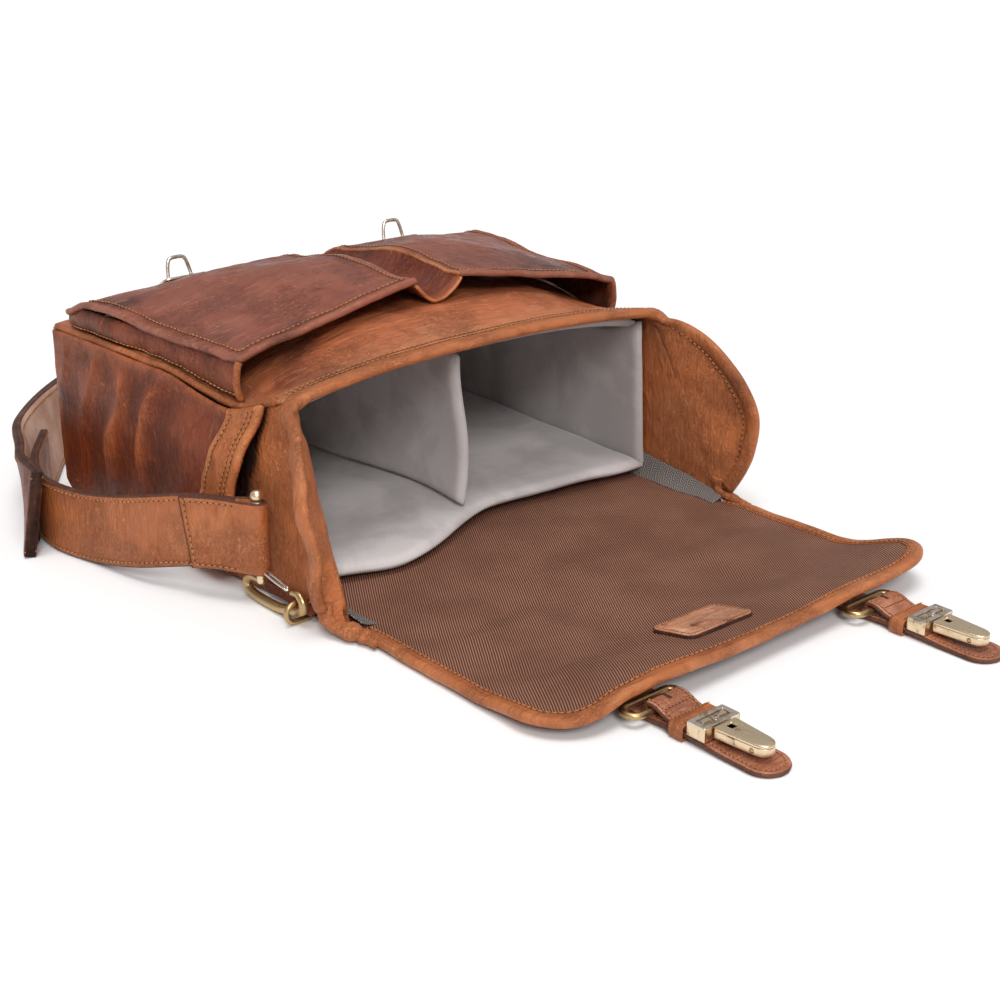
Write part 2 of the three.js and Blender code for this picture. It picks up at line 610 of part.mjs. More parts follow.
// The pieces that join each end of the strap to its gusset, made for the right side and mirrored for the left
function addStrapHardware(side, s) {
  const mirrored = (geometry) => (s < 0 ? turnedOut(geometry.scale(-1, 1, 1)) : geometry);

  // The tab is folded round the ring's straight side and sewn to the gusset
  const RING = { y: 22.5, bar: 140.6, flat: 151.5, low: 0.4, high: 13.4, rod: 3 };
  add(`ring_tab_${side}`, mirrored(box([139.3, RING.y + 2.4, 3.8], [141.7, 62, 10])), LEATHER);

  const dee = (inset) => {
    const shape = new THREE.Shape();
    const radius = (RING.high - RING.low) / 2 - inset;
    shape.moveTo(RING.bar + inset, RING.low + inset);
    shape.lineTo(RING.flat, RING.low + inset);
    shape.absarc(RING.flat, (RING.low + RING.high) / 2, radius, -Math.PI / 2, Math.PI / 2);
    shape.lineTo(RING.bar + inset, RING.high - inset);
    return shape;
  };
  const outline = dee(0);
  outline.holes.push(dee(RING.rod));
  const ring = new THREE.ExtrudeGeometry(outline, { depth: RING.rod, bevelEnabled: false, curveSegments: 10 });
  ring.rotateX(Math.PI / 2);
  ring.translate(0, RING.y + RING.rod / 2, 0);
  add(`d_ring_${side}`, mirrored(ring), BRASS);

  // Snap hook: a bar that the strap is looped round, and a hook that runs under the bag's side to the ring
  const KNOB = 3.6;
  const WIRE = 2.6;
  const bar = cylinder(BAR.radius, BAR.high - BAR.low, "z", [BAR.x, BAR.y, (BAR.low + BAR.high) / 2], 10);
  const knob = new THREE.SphereGeometry(KNOB, 10, 6);
  knob.rotateX(Math.PI / 2);
  knob.translate(BAR.x, BAR.y, BAR.high);
  const bend = [
    [54, 14], [62, 13.5], [67.5, 10], [67, 5.6], [60, 3.4], [46, 3.1], [36, 4],
    [27, 6.2], [22, 7], [17.2, 9.6], [17, 13.8], [21, 16.9], [26.5, 16.2],
  ];
  const hook = rod(bend.map(([y, z]) => [BAR.x, y, z]), WIRE, WIRE, 28);
  add(`snap_hook_${side}`, mirrored(joined(bar, knob, hook)), BRASS);

  const gate = [[49.8, 19.8], [40, 18.1], [30.6, 16.6]];
  add(`hook_gate_${side}`, mirrored(rod(gate.map(([y, z]) => [BAR.x, y, z]), 1.2, 1.6, 3)), NICKEL);
}

// Turns each face of a mirrored geometry the right way out again
function turnedOut(geometry) {
  const whole = geometry.index ? geometry : mergeVertices(geometry);
  const index = Array.from(whole.index.array);
  for (let i = 0; i < index.length; i += 3) [index[i + 1], index[i + 2]] = [index[i + 2], index[i + 1]];
  whole.setIndex(index);
  return whole;
}

addPanels();
addMouthBinding();
for (const [side, s] of SIDES) {
  addFrontPocket(side, s);
  addCatch(side, s);
  addClosure(side, s);
  addStrapHardware(side, s);
}
addValley();
addInsert();
addFlap();
addShoulderStrap();

export default bag;
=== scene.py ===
# A leather camera bag on its back with the flap laid open. Lengths are in millimetres until a mesh is made.
import math

import bmesh
import bpy
import numpy as np
from mathutils import Euler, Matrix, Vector, noise


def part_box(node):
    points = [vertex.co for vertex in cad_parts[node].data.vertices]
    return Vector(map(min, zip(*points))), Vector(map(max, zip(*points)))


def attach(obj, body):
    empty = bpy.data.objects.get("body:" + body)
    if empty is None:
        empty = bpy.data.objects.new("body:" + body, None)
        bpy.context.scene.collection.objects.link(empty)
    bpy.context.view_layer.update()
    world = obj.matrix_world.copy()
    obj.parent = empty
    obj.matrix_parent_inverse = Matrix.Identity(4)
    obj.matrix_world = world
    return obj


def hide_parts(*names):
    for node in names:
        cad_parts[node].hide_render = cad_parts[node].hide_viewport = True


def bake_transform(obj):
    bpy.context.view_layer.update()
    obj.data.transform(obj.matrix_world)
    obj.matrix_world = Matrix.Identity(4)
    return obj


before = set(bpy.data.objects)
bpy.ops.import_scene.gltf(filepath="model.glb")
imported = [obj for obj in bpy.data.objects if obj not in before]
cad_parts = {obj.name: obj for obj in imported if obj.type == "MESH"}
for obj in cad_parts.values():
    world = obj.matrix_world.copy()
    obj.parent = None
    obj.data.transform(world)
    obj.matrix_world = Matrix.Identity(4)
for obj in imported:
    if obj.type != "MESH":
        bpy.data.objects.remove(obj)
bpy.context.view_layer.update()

MM = 0.001
UP = np.array([0.0, 0.0, 1.0])
SIDES = (("left", -1), ("right", 1))


def low_high(node):
    low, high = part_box(node)
    return np.array(low) / MM, np.array(high) / MM


# ---- Sizes shared with the CAD model ----

MOUTH_Y = 48.0  # upper edge of the mouth
BOTTOM_Y = low_high("gusset_left")[1][1]  # the bag's bottom, its far end as it lies
BODY_TOP = 104.0  # height of the gussets
GAP = 0.4  # air between sewn layers
SKIN = 2.6  # thickness of the body's leather
PAD = 6.0  # thickness of the insert's pads
POCKET_IN = 16.0  # half the trough between the front pockets
POCKET_END = low_high("pocket_face_left")[1][1]
FOLD_Y = 0.5 * (low_high("flap_leather_top")[0][1] + low_high("flap_leather_front")[1][1])
FLAP_FRONT = -158.5
FLAP_CORNER = 27.0
FLAP_HALF_FRONT, FLAP_HALF_HINGE = 138.0, 135.5
HINGE_Y = -8.0
STRAP_X = 80.0  # the closures stand this far from the middle


# ---- Camera ----

def add_camera():
    data = bpy.data.cameras.new("camera")
    data.lens = 59.26
    data.sensor_width = 36.0
    data.clip_start = 0.01
    camera = bpy.data.objects.new("camera", data)
    camera.location = (-0.5690, -0.6104, 0.3609)
    camera.rotation_euler = Euler([math.radians(a) for a in (68.68, 0.0, -41.24)])
    bpy.context.scene.collection.objects.link(camera)
    bpy.context.scene.camera = camera


def add_sun(name, toward, strength, spread):
    """A distant soft light that shines along a direction; spread is its width in degrees."""
    data = bpy.data.lights.new(name, "SUN")
    data.energy = strength
    data.angle = math.radians(spread)
    lamp = bpy.data.objects.new(name, data)
    lamp.rotation_euler = Vector(toward).to_track_quat("-Z", "Y").to_euler()
    lamp.location = (0, 0, 2)
    bpy.context.scene.collection.objects.link(lamp)


def add_studio():
    world = bpy.data.worlds.new("studio")
    bpy.context.scene.world = world
    world.use_nodes = True
    background = world.node_tree.nodes["Background"]
    background.inputs["Color"].default_value = (1, 1, 1, 1)
    background.inputs["Strength"].default_value = 0.43
    add_sun("softbox_top", (0.1, 0.12, -1), 1.48, 30)
    add_sun("softbox_front", (0.5, 0.85, -0.75), 1.43, 20)
    bpy.context.scene.view_settings.view_transform = "Standard"


# ---- Curves and fields ----

def lerp(a, b, t):
    return a + (b - a) * t


def smooth(a, b, v):
    t = np.clip((v - a) / (b - a), 0, 1)
    return t * t * (3 - 2 * t)


def through(stations, v):
    """A value that passes smoothly through (position, value) stations."""
    v = np.asarray(v, float)
    out = np.full(v.shape, float(stations[0][1]))
    for (a, va), (b, vb) in zip(stations, stations[1:]):
        out = np.where(v > a, lerp(va, vb, smooth(a, b, v)), out)
    return out


def bump(centre, width, v):
    return np.exp(-(((v - centre) / width) ** 2))


def rough(points, size, detail=3, seed=0.0):
    """Smooth random heights, about -1 to 1, at points in mm; size is the width of the largest bumps."""
    flat = np.asarray(points, float).reshape(-1, 3) / size + seed
    values = [noise.fractal(Vector(p), 1.0, 2.0, detail) for p in flat]
    return np.array(values).reshape(np.asarray(points).shape[:-1])


def spline(points, step=2.0):
    """Points every step mm along a smooth curve through the given points."""
    p = np.array(points, float)
    ends = np.vstack([2 * p[0] - p[1], p, 2 * p[-1] - p[-2]])
    out = []
    for i in range(1, len(ends) - 2):
        a, b, c, d = ends[i - 1 : i + 3]
        for t in np.linspace(0, 1, 24, endpoint=False):
            bend, twist = 2 * a - 5 * b + 4 * c - d, 3 * b - a - 3 * c + d
            out.append(0.5 * (2 * b + (c - a) * t + bend * t**2 + twist * t**3))
    out.append(p[-1])
    return resample(np.array(out), step)


def lengths_along(path):
    return np.concatenate([[0], np.cumsum(np.linalg.norm(np.diff(path, axis=0), axis=1))])


def resample(path, step):
    """Points at even steps along a path."""
    lengths = lengths_along(path)
    count = max(2, int(round(lengths[-1] / step)) + 1)
    at = np.linspace(0, lengths[-1], count)
    return np.stack([np.interp(at, lengths, path[:, k]) for k in range(3)], axis=1)


def xyz(x, y, z):
    """Points from their coordinates, each an array or one number for all."""
    return np.stack(np.broadcast_arrays(x, y, z), axis=-1)


def unit(v):
    return v / (np.linalg.norm(v, axis=-1, keepdims=True) + 1e-12)


# ---- Surfaces of the body ----

def half_width(y, z):
    """Half the body's width; the bag is narrower at its mouth, and there narrower still at its top."""
    t = np.clip((y - MOUTH_Y) / (BOTTOM_Y - MOUTH_Y), 0, 1)
    return lerp(lerp(138, 150, t), lerp(132, 150, t), z / BODY_TOP)


def gusset_top(y):
    """Height of the seam between the gusset and the front panel."""
    return through([(48, 105.5), (92, 94), (155, 102), (245, 104)], y)


def front_top(x, y):
    """Height of the domed front panel, which faces up as the bag lies."""
    crown = through([(48, 9), (95, 31), (160, 24), (BOTTOM_Y, 8)], y)
    share = np.minimum(1, np.abs(x) / half_width(y, BODY_TOP))
    return gusset_top(y) + GAP + SKIN + crown * (1 - share**2.6)


# The line on which each ear bends, as (y, z) at its two ends
CHORD_LOW = (-2.0, 6.0)
CHORD_HIGH = (47.0, 104.0)


def chord_y(z):
    return lerp(CHORD_LOW[0], CHORD_HIGH[0], (z - CHORD_LOW[1]) / (CHORD_HIGH[1] - CHORD_LOW[1]))


def gusset_outer(y, z):
    along = np.clip((y - chord_y(z)) / (BOTTOM_Y - chord_y(z)), 0, 1)
    return half_width(y, z) + 2 * np.sin(np.pi * along) * np.sin(np.pi * np.clip(z / BODY_TOP, 0, 1))


def pocket_outer(y):
    return half_width(y, BODY_TOP) - 1.5


def pocket_inner_top(y):
    return through([(92, 142), (150, 146), (205, 138), (POCKET_END, 121)], y)


def pocket_top(x, y):
    """Height of the front pockets' faces."""
    inner = pocket_inner_top(y)
    outer = through([(88, 122.5), (230, 124.5), (POCKET_END, 119.5)], y)
    share = np.clip((np.abs(x) - POCKET_IN) / (pocket_outer(y) - POCKET_IN), 0, 1)
    swell = 8 * np.sin(np.pi * share) * np.sin(np.pi * np.clip((y - 90) / 150, 0, 1))
    return lerp(inner, outer, share) + swell


def flap_half(y, inset=0.0):
    """Half the flap's width, with its round front corners."""
    shoulder = FLAP_FRONT + FLAP_CORNER
    straight = lerp(FLAP_HALF_FRONT, FLAP_HALF_HINGE, (y - shoulder) / (HINGE_Y - shoulder)) - inset
    radius = FLAP_CORNER - inset
    past = np.minimum(0, y - shoulder)
    corner = FLAP_HALF_FRONT - FLAP_CORNER + np.sqrt(np.maximum(0, radius**2 - past**2))
    return np.where(y > shoulder, straight, corner)


def flap_under(x, y):
    """Height of the flap's lower face: flat at the hinge, propped up by the closures' straps in front."""
    out = np.abs(x)
    middle = lerp(0.8, 1, smooth(10, STRAP_X - 14, out))
    fall = np.where(x < 0, 0.5, -0.3)
    beyond = 1 - fall * smooth(STRAP_X + 16, FLAP_HALF_FRONT - 8, out)
    lift = 11.4 * np.where(out < STRAP_X, middle, beyond) * (1 - smooth(FLAP_FRONT + 6, -92, y))
    over_strap = 1 - smooth(17, 36, np.abs(out - STRAP_X))
    room = 2.6 * over_strap * (1 - smooth(-60, -44, y))
    return 0.3 + np.maximum(room, lift)


# ---- Meshes ----

def normals_of(grid):
    across = np.cross(np.gradient(grid, axis=0), np.gradient(grid, axis=1))
    return unit(across)


def quads(rows, columns):
    """The faces of a grid."""
    i, j = np.meshgrid(np.arange(rows - 1), np.arange(columns - 1), indexing="ij")
    first = i * columns + j
    return np.stack([first, first + columns, first + columns + 1, first + 1], axis=-1).reshape(-1, 4)


def make(name, verts, faces, materials, slots=None, uv=None, fields=None):
    mesh = bpy.data.meshes.new(name)
    mesh.from_pydata((np.asarray(verts) * MM).tolist(), [], [list(map(int, f)) for f in faces])
    for material in materials if isinstance(materials, (list, tuple)) else [materials]:
        mesh.materials.append(material)
    if slots is not None:
        mesh.polygons.foreach_set("material_index", np.asarray(slots, np.int32))
    mesh.polygons.foreach_set("use_smooth", np.ones(len(mesh.polygons), bool))
    if uv is not None:
        layer = mesh.uv_layers.new(name="UVMap")
        corner = np.zeros(len(mesh.loops), np.int32)
        mesh.loops.foreach_get("vertex_index", corner)
        layer.data.foreach_set("uv", (np.asarray(uv)[corner] * MM).astype(np.float32).ravel())
    for key, values in (fields or {}).items():
        attribute = mesh.attributes.new(key, "FLOAT", "POINT")
        attribute.data.foreach_set("value", np.asarray(values, np.float32))
    mesh.update()
    piece = bpy.data.objects.new(name, mesh)
    bpy.context.scene.collection.objects.link(piece)
    return piece


def border(rows, columns):
    """Indices (row, column) once round the edge of a grid."""
    ring = [(i, 0) for i in range(rows)] + [(rows - 1, j) for j in range(1, columns)]
    ring += [(i, columns - 1) for i in range(rows - 2, -1, -1)] + [(0, j) for j in range(columns - 2, 0, -1)]
    return np.array(ring)


def lengths_uv(grid):
    du = np.linalg.norm(np.diff(grid, axis=0), axis=2).mean(axis=1)
    dv = np.linalg.norm(np.diff(grid, axis=1), axis=2).mean(axis=0)
    u = np.concatenate([[0], np.cumsum(du)])
    v = np.concatenate([[0], np.cumsum(dv)])
    return np.stack(np.meshgrid(u, v, indexing="ij"), axis=-1)


def shell(name, grid, thick, materials, worn=None, dark=None, uv=None, flip=False, flat=""):
    """A sheet of even thickness below a grid of points, with a rounded edge. Materials: face, back, edge.
    flat names an end, l or r, that is cut square so that another sheet butts against it."""
    rows, columns = grid.shape[:2]
    normal = normals_of(grid) * (-1 if flip else 1)
    inner = grid - normal * thick
    count = rows * columns
    ring = border(rows, columns)
    inward = np.clip(ring, 1, [rows - 2, columns - 2])
    edge = grid[ring[:, 0], ring[:, 1]]
    outward = unit(edge - grid[inward[:, 0], inward[:, 1]])
    square = ((ring[:, 1] == 0) & ("l" in flat)) | ((ring[:, 1] == columns - 1) & ("r" in flat))
    outward[square] = 0
    middle = edge - normal[ring[:, 0], ring[:, 1]] * thick / 2 + outward * thick * 0.3
    index = ring[:, 0] * columns + ring[:, 1]
    n = len(ring)
    following = np.roll(np.arange(n), -1)
    top = quads(rows, columns)
    low = top[:, ::-1] + count
    rounded, rounded_next = 2 * count + np.arange(n), 2 * count + following
    rim_a = np.stack([index, rounded, rounded_next, index[following]], axis=1)
    rim_b = np.stack([rounded, index + count, index[following] + count, rounded_next], axis=1)
    faces = np.vstack([top, low, rim_a, rim_b])
    if flip:
        faces = faces[:, ::-1]
    kinds = np.concatenate([np.zeros(len(top)), np.ones(len(low)), np.full(2 * n, 2)])
    verts = np.vstack([grid.reshape(-1, 3), inner.reshape(-1, 3), middle])
    uv = lengths_uv(grid) if uv is None else uv
    uvs = np.vstack([uv.reshape(-1, 2), uv.reshape(-1, 2), uv[ring[:, 0], ring[:, 1]]])
    fields = {}
    for key, values in (("worn", worn), ("dark", dark)):
        if values is not None:
            fields[key] = np.concatenate([values.ravel(), values.ravel(), values[ring[:, 0], ring[:, 1]]])
    piece = make(name, verts, faces, materials, kinds, uvs, fields)
    if flat:
        on_cut = np.zeros(len(verts), bool)
        on_cut[index[square]] = on_cut[index[square] + count] = True
        ends = np.zeros(2 * len(piece.data.edges), np.int32)
        piece.data.edges.foreach_get("vertices", ends)
        sharp = piece.data.attributes.new("sharp_edge", "BOOLEAN", "EDGE")
        sharp.data.foreach_set("value", on_cut[ends.reshape(-1, 2)].all(axis=1))
    return piece


def tube_faces(rings, sides, closed=False):
    """Faces of a tube of rings of points; a closed one joins its last ring to its first."""
    faces = []
    for i in range(rings if closed else rings - 1):
        a, b = i * sides, ((i + 1) % rings) * sides
        for j in range(sides):
            k = (j + 1) % sides
            faces.append([a + j, a + k, b + k, b + j])
    return faces


def end_faces(rings, sides):
    return [list(range(sides))[::-1], [(rings - 1) * sides + j for j in range(sides)]]


def frames_along(path, up, closed=False):
    """Unit vectors ahead, sideways and upwards at each point of a path."""
    ahead = np.roll(path, -1, axis=0) - np.roll(path, 1, axis=0) if closed else np.gradient(path, axis=0)
    tangent = unit(ahead)
    up = np.broadcast_to(np.asarray(up, float), path.shape)
    side = unit(np.cross(up, tangent))
    return tangent, side, unit(np.cross(tangent, side))


def sweep(name, path, up, section, material, worn=None, scale=None, closed=False):
    """A rod along a path. section is (side, up) points round it; scale widens it point by point."""
    _, side, upward = frames_along(path, up, closed)
    section = np.asarray(section, float)
    factor = (np.ones(len(path)) if scale is None else scale)[:, None, None]
    ring = path[:, None] + side[:, None] * section[None, :, :1] * factor
    ring = ring + upward[:, None] * section[None, :, 1:] * factor
    rows, columns = ring.shape[:2]
    faces = tube_faces(rows, columns, closed) + ([] if closed else end_faces(rows, columns))
    verts = ring.reshape(-1, 3)
    fields = {"worn": np.repeat(worn, columns)} if worn is not None else None
    return make(name, verts, faces, material, fields=fields)


def oval(half_side, half_up, count=14, power=2.0):
    """A rod's section; a power over 2 makes it squarer."""
    angle = np.linspace(0, 2 * np.pi, count, endpoint=False)
    c, s = np.cos(angle), np.sin(angle)
    side = half_side * np.sign(c) * np.abs(c) ** (2 / power)
    return np.stack([side, half_up * np.sign(s) * np.abs(s) ** (2 / power)], axis=1)


class Thread:
    """Collects stitches, each a small raised bar of thread, and makes them one object."""

    RINGS = ((-0.5, 0.35, -0.5), (-0.3, 0.9, 0.3), (0.0, 1.0, 0.45), (0.3, 0.9, 0.3), (0.5, 0.35, -0.5))
    SIDES = 6

    def __init__(self):
        self.verts = []
        self.faces = []
        self.slots = []

    def row(self, path, normal, pitch=3.3, length=2.5, width=0.8):
        """Stitches along a path; normal is the way out of the leather, one for all or one for each point."""
        path = np.asarray(path, float)
        dense = resample(path, pitch)
        if np.ndim(normal) == 2:
            nearest = np.argmin(np.linalg.norm(dense[:, None] - path[None], axis=2), axis=1)
            normal = np.asarray(normal)[nearest]
        tangent = unit(np.gradient(dense, axis=0))
        side = unit(np.cross(np.broadcast_to(normal, dense.shape), tangent))
        upward = unit(np.cross(tangent, side))
        angle = np.linspace(0, 2 * np.pi, self.SIDES, endpoint=False)
        for p, t, s, u in zip(dense, tangent, side, upward):
            base = len(self.verts)
            for along, girth, lift in self.RINGS:
                centre = p + t * along * length + u * lift * width * 0.5
                for a in angle:
                    across = s * math.cos(a) + u * math.sin(a)
                    self.verts.append(centre + across * girth * width * 0.5)
            rings = len(self.RINGS)
            bar = tube_faces(rings, self.SIDES) + end_faces(rings, self.SIDES)
            self.faces += [[base + k for k in face] for face in bar]
            self.slots += [0] * len(bar)
            self.hole(p + t * pitch * 0.5, t, s, u, width)

    def hole(self, centre, along, side, up, width):
        """The needle hole between two stitches, a shallow lens pressed into the leather, coloured dark as
        painted shade for the hole.
        """
        base = len(self.verts)
        for k in range(self.SIDES):
            a = 2 * math.pi * k / self.SIDES
            reach = along * math.cos(a) * 0.75 + side * math.sin(a) * 0.6
            self.verts.append(centre + reach * width)
        self.verts.append(centre + up * width * 0.22)
        self.verts.append(centre - up * width * 0.3)
        for k in range(self.SIDES):
            n = (k + 1) % self.SIDES
            self.faces.append([base + k, base + n, base + self.SIDES])
            self.faces.append([base + n, base + k, base + self.SIDES + 1])
        self.slots += [1] * (2 * self.SIDES)

    def build(self, name, material):
        return make(name, self.verts, self.faces, material, self.slots)


# ---- Materials ----

class Shader:
    """A procedural material. Each method adds one node and returns its output."""

    def __init__(self, name, **constants):
        self.material = bpy.data.materials.new(name)
        self.material.use_nodes = True
        self.tree = self.material.node_tree
        self.bsdf = self.tree.nodes["Principled BSDF"]
        for key, value in constants.items():
            self.bsdf.inputs[key.replace("_", " ")].default_value = value

    def node(self, kind, inputs, out=0, **settings):
        made = self.tree.nodes.new("ShaderNode" + kind)
        for key, value in settings.items():
            setattr(made, key, value)
        for key, value in inputs.items():
            self.put(made.inputs[key], value)
        return made.outputs[out]

    def put(self, socket, value):
        if isinstance(value, bpy.types.NodeSocket):
            self.tree.links.new(value, socket)
        elif isinstance(value, tuple) and len(value) == 3 and socket.type == "RGBA":
            socket.default_value = (*value, 1)
        else:
            socket.default_value = value

    def place(self):
        return self.node("TexCoord", {}, "Object")

    def uv(self):
        return self.node("TexCoord", {}, "UV")

    def stretched(self, vector, scale, turn=(0, 0, 0)):
        return self.node("Mapping", {"Vector": vector, "Scale": scale, "Rotation": turn})

    def noise(self, vector, scale, detail=3.0, roughness=0.55, distortion=0.0):
        inputs = {"Vector": vector, "Scale": scale, "Detail": detail}
        inputs.update({"Roughness": roughness, "Distortion": distortion})
        return self.node("TexNoise", inputs, "Fac")

    def math(self, operation, a, b=0.0, clamp=False):
        return self.node("Math", {0: a, 1: b}, operation=operation, use_clamp=clamp)

    def spread(self, value, low, high, to_low=0.0, to_high=1.0):
        inputs = {"Value": value, "From Min": low, "From Max": high, "To Min": to_low, "To Max": to_high}
        return self.node("MapRange", inputs, interpolation_type="SMOOTHSTEP")

    def mix(self, share, a, b):
        return self.node("Mix", {0: share, 6: a, 7: b}, 2, data_type="RGBA")

    def parts(self, vector):
        """The X and Y of a vector."""
        split = self.node("SeparateXYZ", {0: vector}).node
        return split.outputs[0], split.outputs[1]

    def field(self, name):
        return self.node("Attribute", {}, "Fac", attribute_name=name)

    def bump(self, height, strength, distance, under=None):
        inputs = {"Height": height, "Strength": strength, "Distance": distance}
        if under is not None:
            inputs["Normal"] = under
        return self.node("Bump", inputs)

    def finish(self, colour=None, roughness=None, normal=None):
        for key, value in (("Base Color", colour), ("Roughness", roughness), ("Normal", normal)):
            if value is not None:
                self.put(self.bsdf.inputs[key], value)
        return self.material


def shade(colour, factor):
    return tuple(c * factor for c in colour)


def leather(name, dark, base, light, roughness=0.38, blotch=16.0, streak=(60, 300, 90)):
    """Oiled pull-up leather: cloudy colour, paler where it wears or bends, with pores and creases. Its colour
    also holds painted light: highlights on fold crests, and shade in crease lines, in fold valleys and behind
    the slip pockets.
    """
    s = Shader(name, Specular_IOR_Level=0.4)
    place = s.place()
    clouds = s.noise(place, blotch, 4, 0.55, 0.4)
    colour = s.mix(s.spread(clouds, 0.3, 0.48), dark, base)
    colour = s.mix(s.spread(clouds, 0.56, 0.74, 0, 0.8), colour, light)
    patches = s.noise(place, 75, 5, 0.6, 0.5)
    colour = s.mix(s.spread(patches, 0.42, 0.28, 0, 0.35), colour, dark)
    # Long soft streaks where the oil has moved under a bend
    streaks = s.noise(s.stretched(place, streak, (0.35, 0.15, 0.6)), 1.0, 5, 0.6, 0.9)
    colour = s.mix(s.spread(streaks, 0.56, 0.72, 0, 0.5), colour, light)
    colour = s.mix(s.spread(streaks, 0.42, 0.3, 0, 0.35), colour, dark)
    # Short fine scratches, in places
    lines = s.noise(s.stretched(place, (130, 1500, 260), (0.9, 0.4, 0.2)), 1.0, 3, 0.5, 0.4)
    cross = s.noise(s.stretched(place, (1400, 120, 300), (0.3, 0.2, 0.5)), 1.0, 3, 0.5, 0.4)
    where = s.spread(s.noise(place, 34, 3), 0.46, 0.6)
    scratch = s.math("MAXIMUM", s.spread(lines, 0.63, 0.7), s.spread(cross, 0.64, 0.71))
    scratch = s.math("MULTIPLY", s.math("MULTIPLY", scratch, where), 0.75)
    colour = s.mix(scratch, colour, shade(light, 1.4))
    # Paler where the mesh's wear field is high: real wear along edges, and painted highlights on the crests
    # of folds.
    rubbed_and_lit = s.math("MULTIPLY", s.field("worn"), s.spread(patches, 0.3, 0.6, 0.45, 1.0), clamp=True)
    colour = s.mix(rubbed_and_lit, colour, shade(light, 1.1))
    # Painted shade: where the mesh's dark field is set, the colour goes nearly black, behind the slip pockets
    # and in the valleys of their folds.
    colour = s.mix(s.field("dark"), colour, shade(dark, 0.12))
    pores = s.node("TexVoronoi", {"Vector": place, "Scale": 1100.0}, "Distance")
    fine = s.noise(place, 480, 4, 0.6)
    wrinkles = s.noise(s.stretched(place, (240, 420, 330), (0.2, 0.5, 0.9)), 1.0, 4, 0.6, 1.6)
    ridges = s.math("ABSOLUTE", s.math("SUBTRACT", wrinkles, 0.5))
    zone = s.spread(s.noise(place, 24, 3), 0.44, 0.6)
    # Painted shade: thin crease lines are darkened where the bump dips into them.
    crease_shade = s.math("MULTIPLY", s.spread(ridges, 0.03, 0.0), zone)
    colour = s.mix(s.math("MULTIPLY", crease_shade, 0.45), colour, shade(dark, 0.5))
    height = s.math("MULTIPLY", s.spread(ridges, 0.0, 0.08), zone)
    normal = s.bump(streaks, 0.7, 0.003)
    normal = s.bump(height, 0.6, 0.0009, normal)
    normal = s.bump(fine, 0.28, 0.0004, normal)
    normal = s.bump(pores, 0.3, 0.0003, normal)
    gloss = s.spread(patches, 0.3, 0.7, roughness + 0.12, roughness - 0.08)
    return s.finish(colour, gloss, normal)


def suede(name, dark, light):
    """The leather's rough flesh side."""
    s = Shader(name, Specular_IOR_Level=0.15, Sheen_Weight=0.1, Sheen_Roughness=0.5)
    place = s.place()
    nap = s.noise(place, 900, 4, 0.7)
    clouds = s.noise(place, 40, 4)
    colour = s.mix(s.spread(clouds, 0.35, 0.65), dark, light)
    colour = s.mix(s.spread(nap, 0.3, 0.7, 0, 0.35), colour, shade(dark, 0.8))
    return s.finish(colour, 0.9, s.bump(nap, 0.5, 0.0006))


def velour(name, dark, light):
    """Brushed cloth with a short pile, paler where it was last stroked."""
    s = Shader(name, Specular_IOR_Level=0.15, Sheen_Weight=0.4, Sheen_Roughness=0.4)
    place = s.place()
    brushed = s.noise(place, 22, 5, 0.6, 0.3)
    pile = s.noise(place, 1500, 3, 0.7)
    colour = s.mix(s.spread(brushed, 0.38, 0.62), dark, light)
    colour = s.mix(s.spread(pile, 0.35, 0.65, 0, 0.25), colour, shade(dark, 0.7))
    return s.finish(colour, 0.95, s.bump(pile, 0.45, 0.0005))


def twill(name, dark, light, pitch=1.9, turn=52.0):
    """Heavy nylon twill. Ribs run across the cloth at an angle, and each rib is broken into short floats."""
    s = Shader(name, Specular_IOR_Level=0.3)
    turned = s.stretched(s.uv(), (1, 1, 1), (0, 0, math.radians(-turn)))
    along, across = s.parts(turned)
    turns = 2 * math.pi / MM
    wobble = s.spread(s.noise(s.uv(), 90, 2), 0, 1, -0.6, 0.6)
    rib_phase = s.math("ADD", s.math("MULTIPLY", across, turns / pitch), wobble)
    rib = s.math("SINE", rib_phase)
    float_phase = s.math("ADD", s.math("MULTIPLY", along, turns / 0.8), s.math("MULTIPLY", rib_phase, 0.5))
    floats = s.math("SINE", float_phase)
    rib_height = s.spread(rib, -0.7, 0.8)
    float_height = s.spread(floats, -0.9, 0.4, 0.45, 1.0)
    height = s.math("MULTIPLY", rib_height, float_height)
    dust = s.noise(s.place(), 26, 4)
    # Colour follows the weave's height: the pattern of ribs and floats, with painted shade darkening the
    # grooves between them.
    colour = s.mix(height, dark, light)
    colour = s.mix(s.spread(dust, 0.35, 0.65, 0, 0.3), colour, shade(dark, 1.15))
    return s.finish(colour, 0.72, s.bump(height, 0.75, 0.0006))


def herringbone(name, dark, light):
    """Woven tape whose slanted ribs change side every 3 mm."""
    s = Shader(name, Specular_IOR_Level=0.25)
    along, across = s.parts(s.uv())
    zigzag = s.math("PINGPONG", across, 3 * MM)
    phase = s.math("MULTIPLY", s.math("ADD", along, zigzag), 2 * math.pi / (1.5 * MM))
    height = s.spread(s.math("SINE", phase), -0.8, 0.8)
    # Colour follows the ribs' height: the woven pattern, with painted shade darkening the grooves between
    # ribs.
    return s.finish(s.mix(height, dark, light), 0.85, s.bump(height, 0.7, 0.0005))


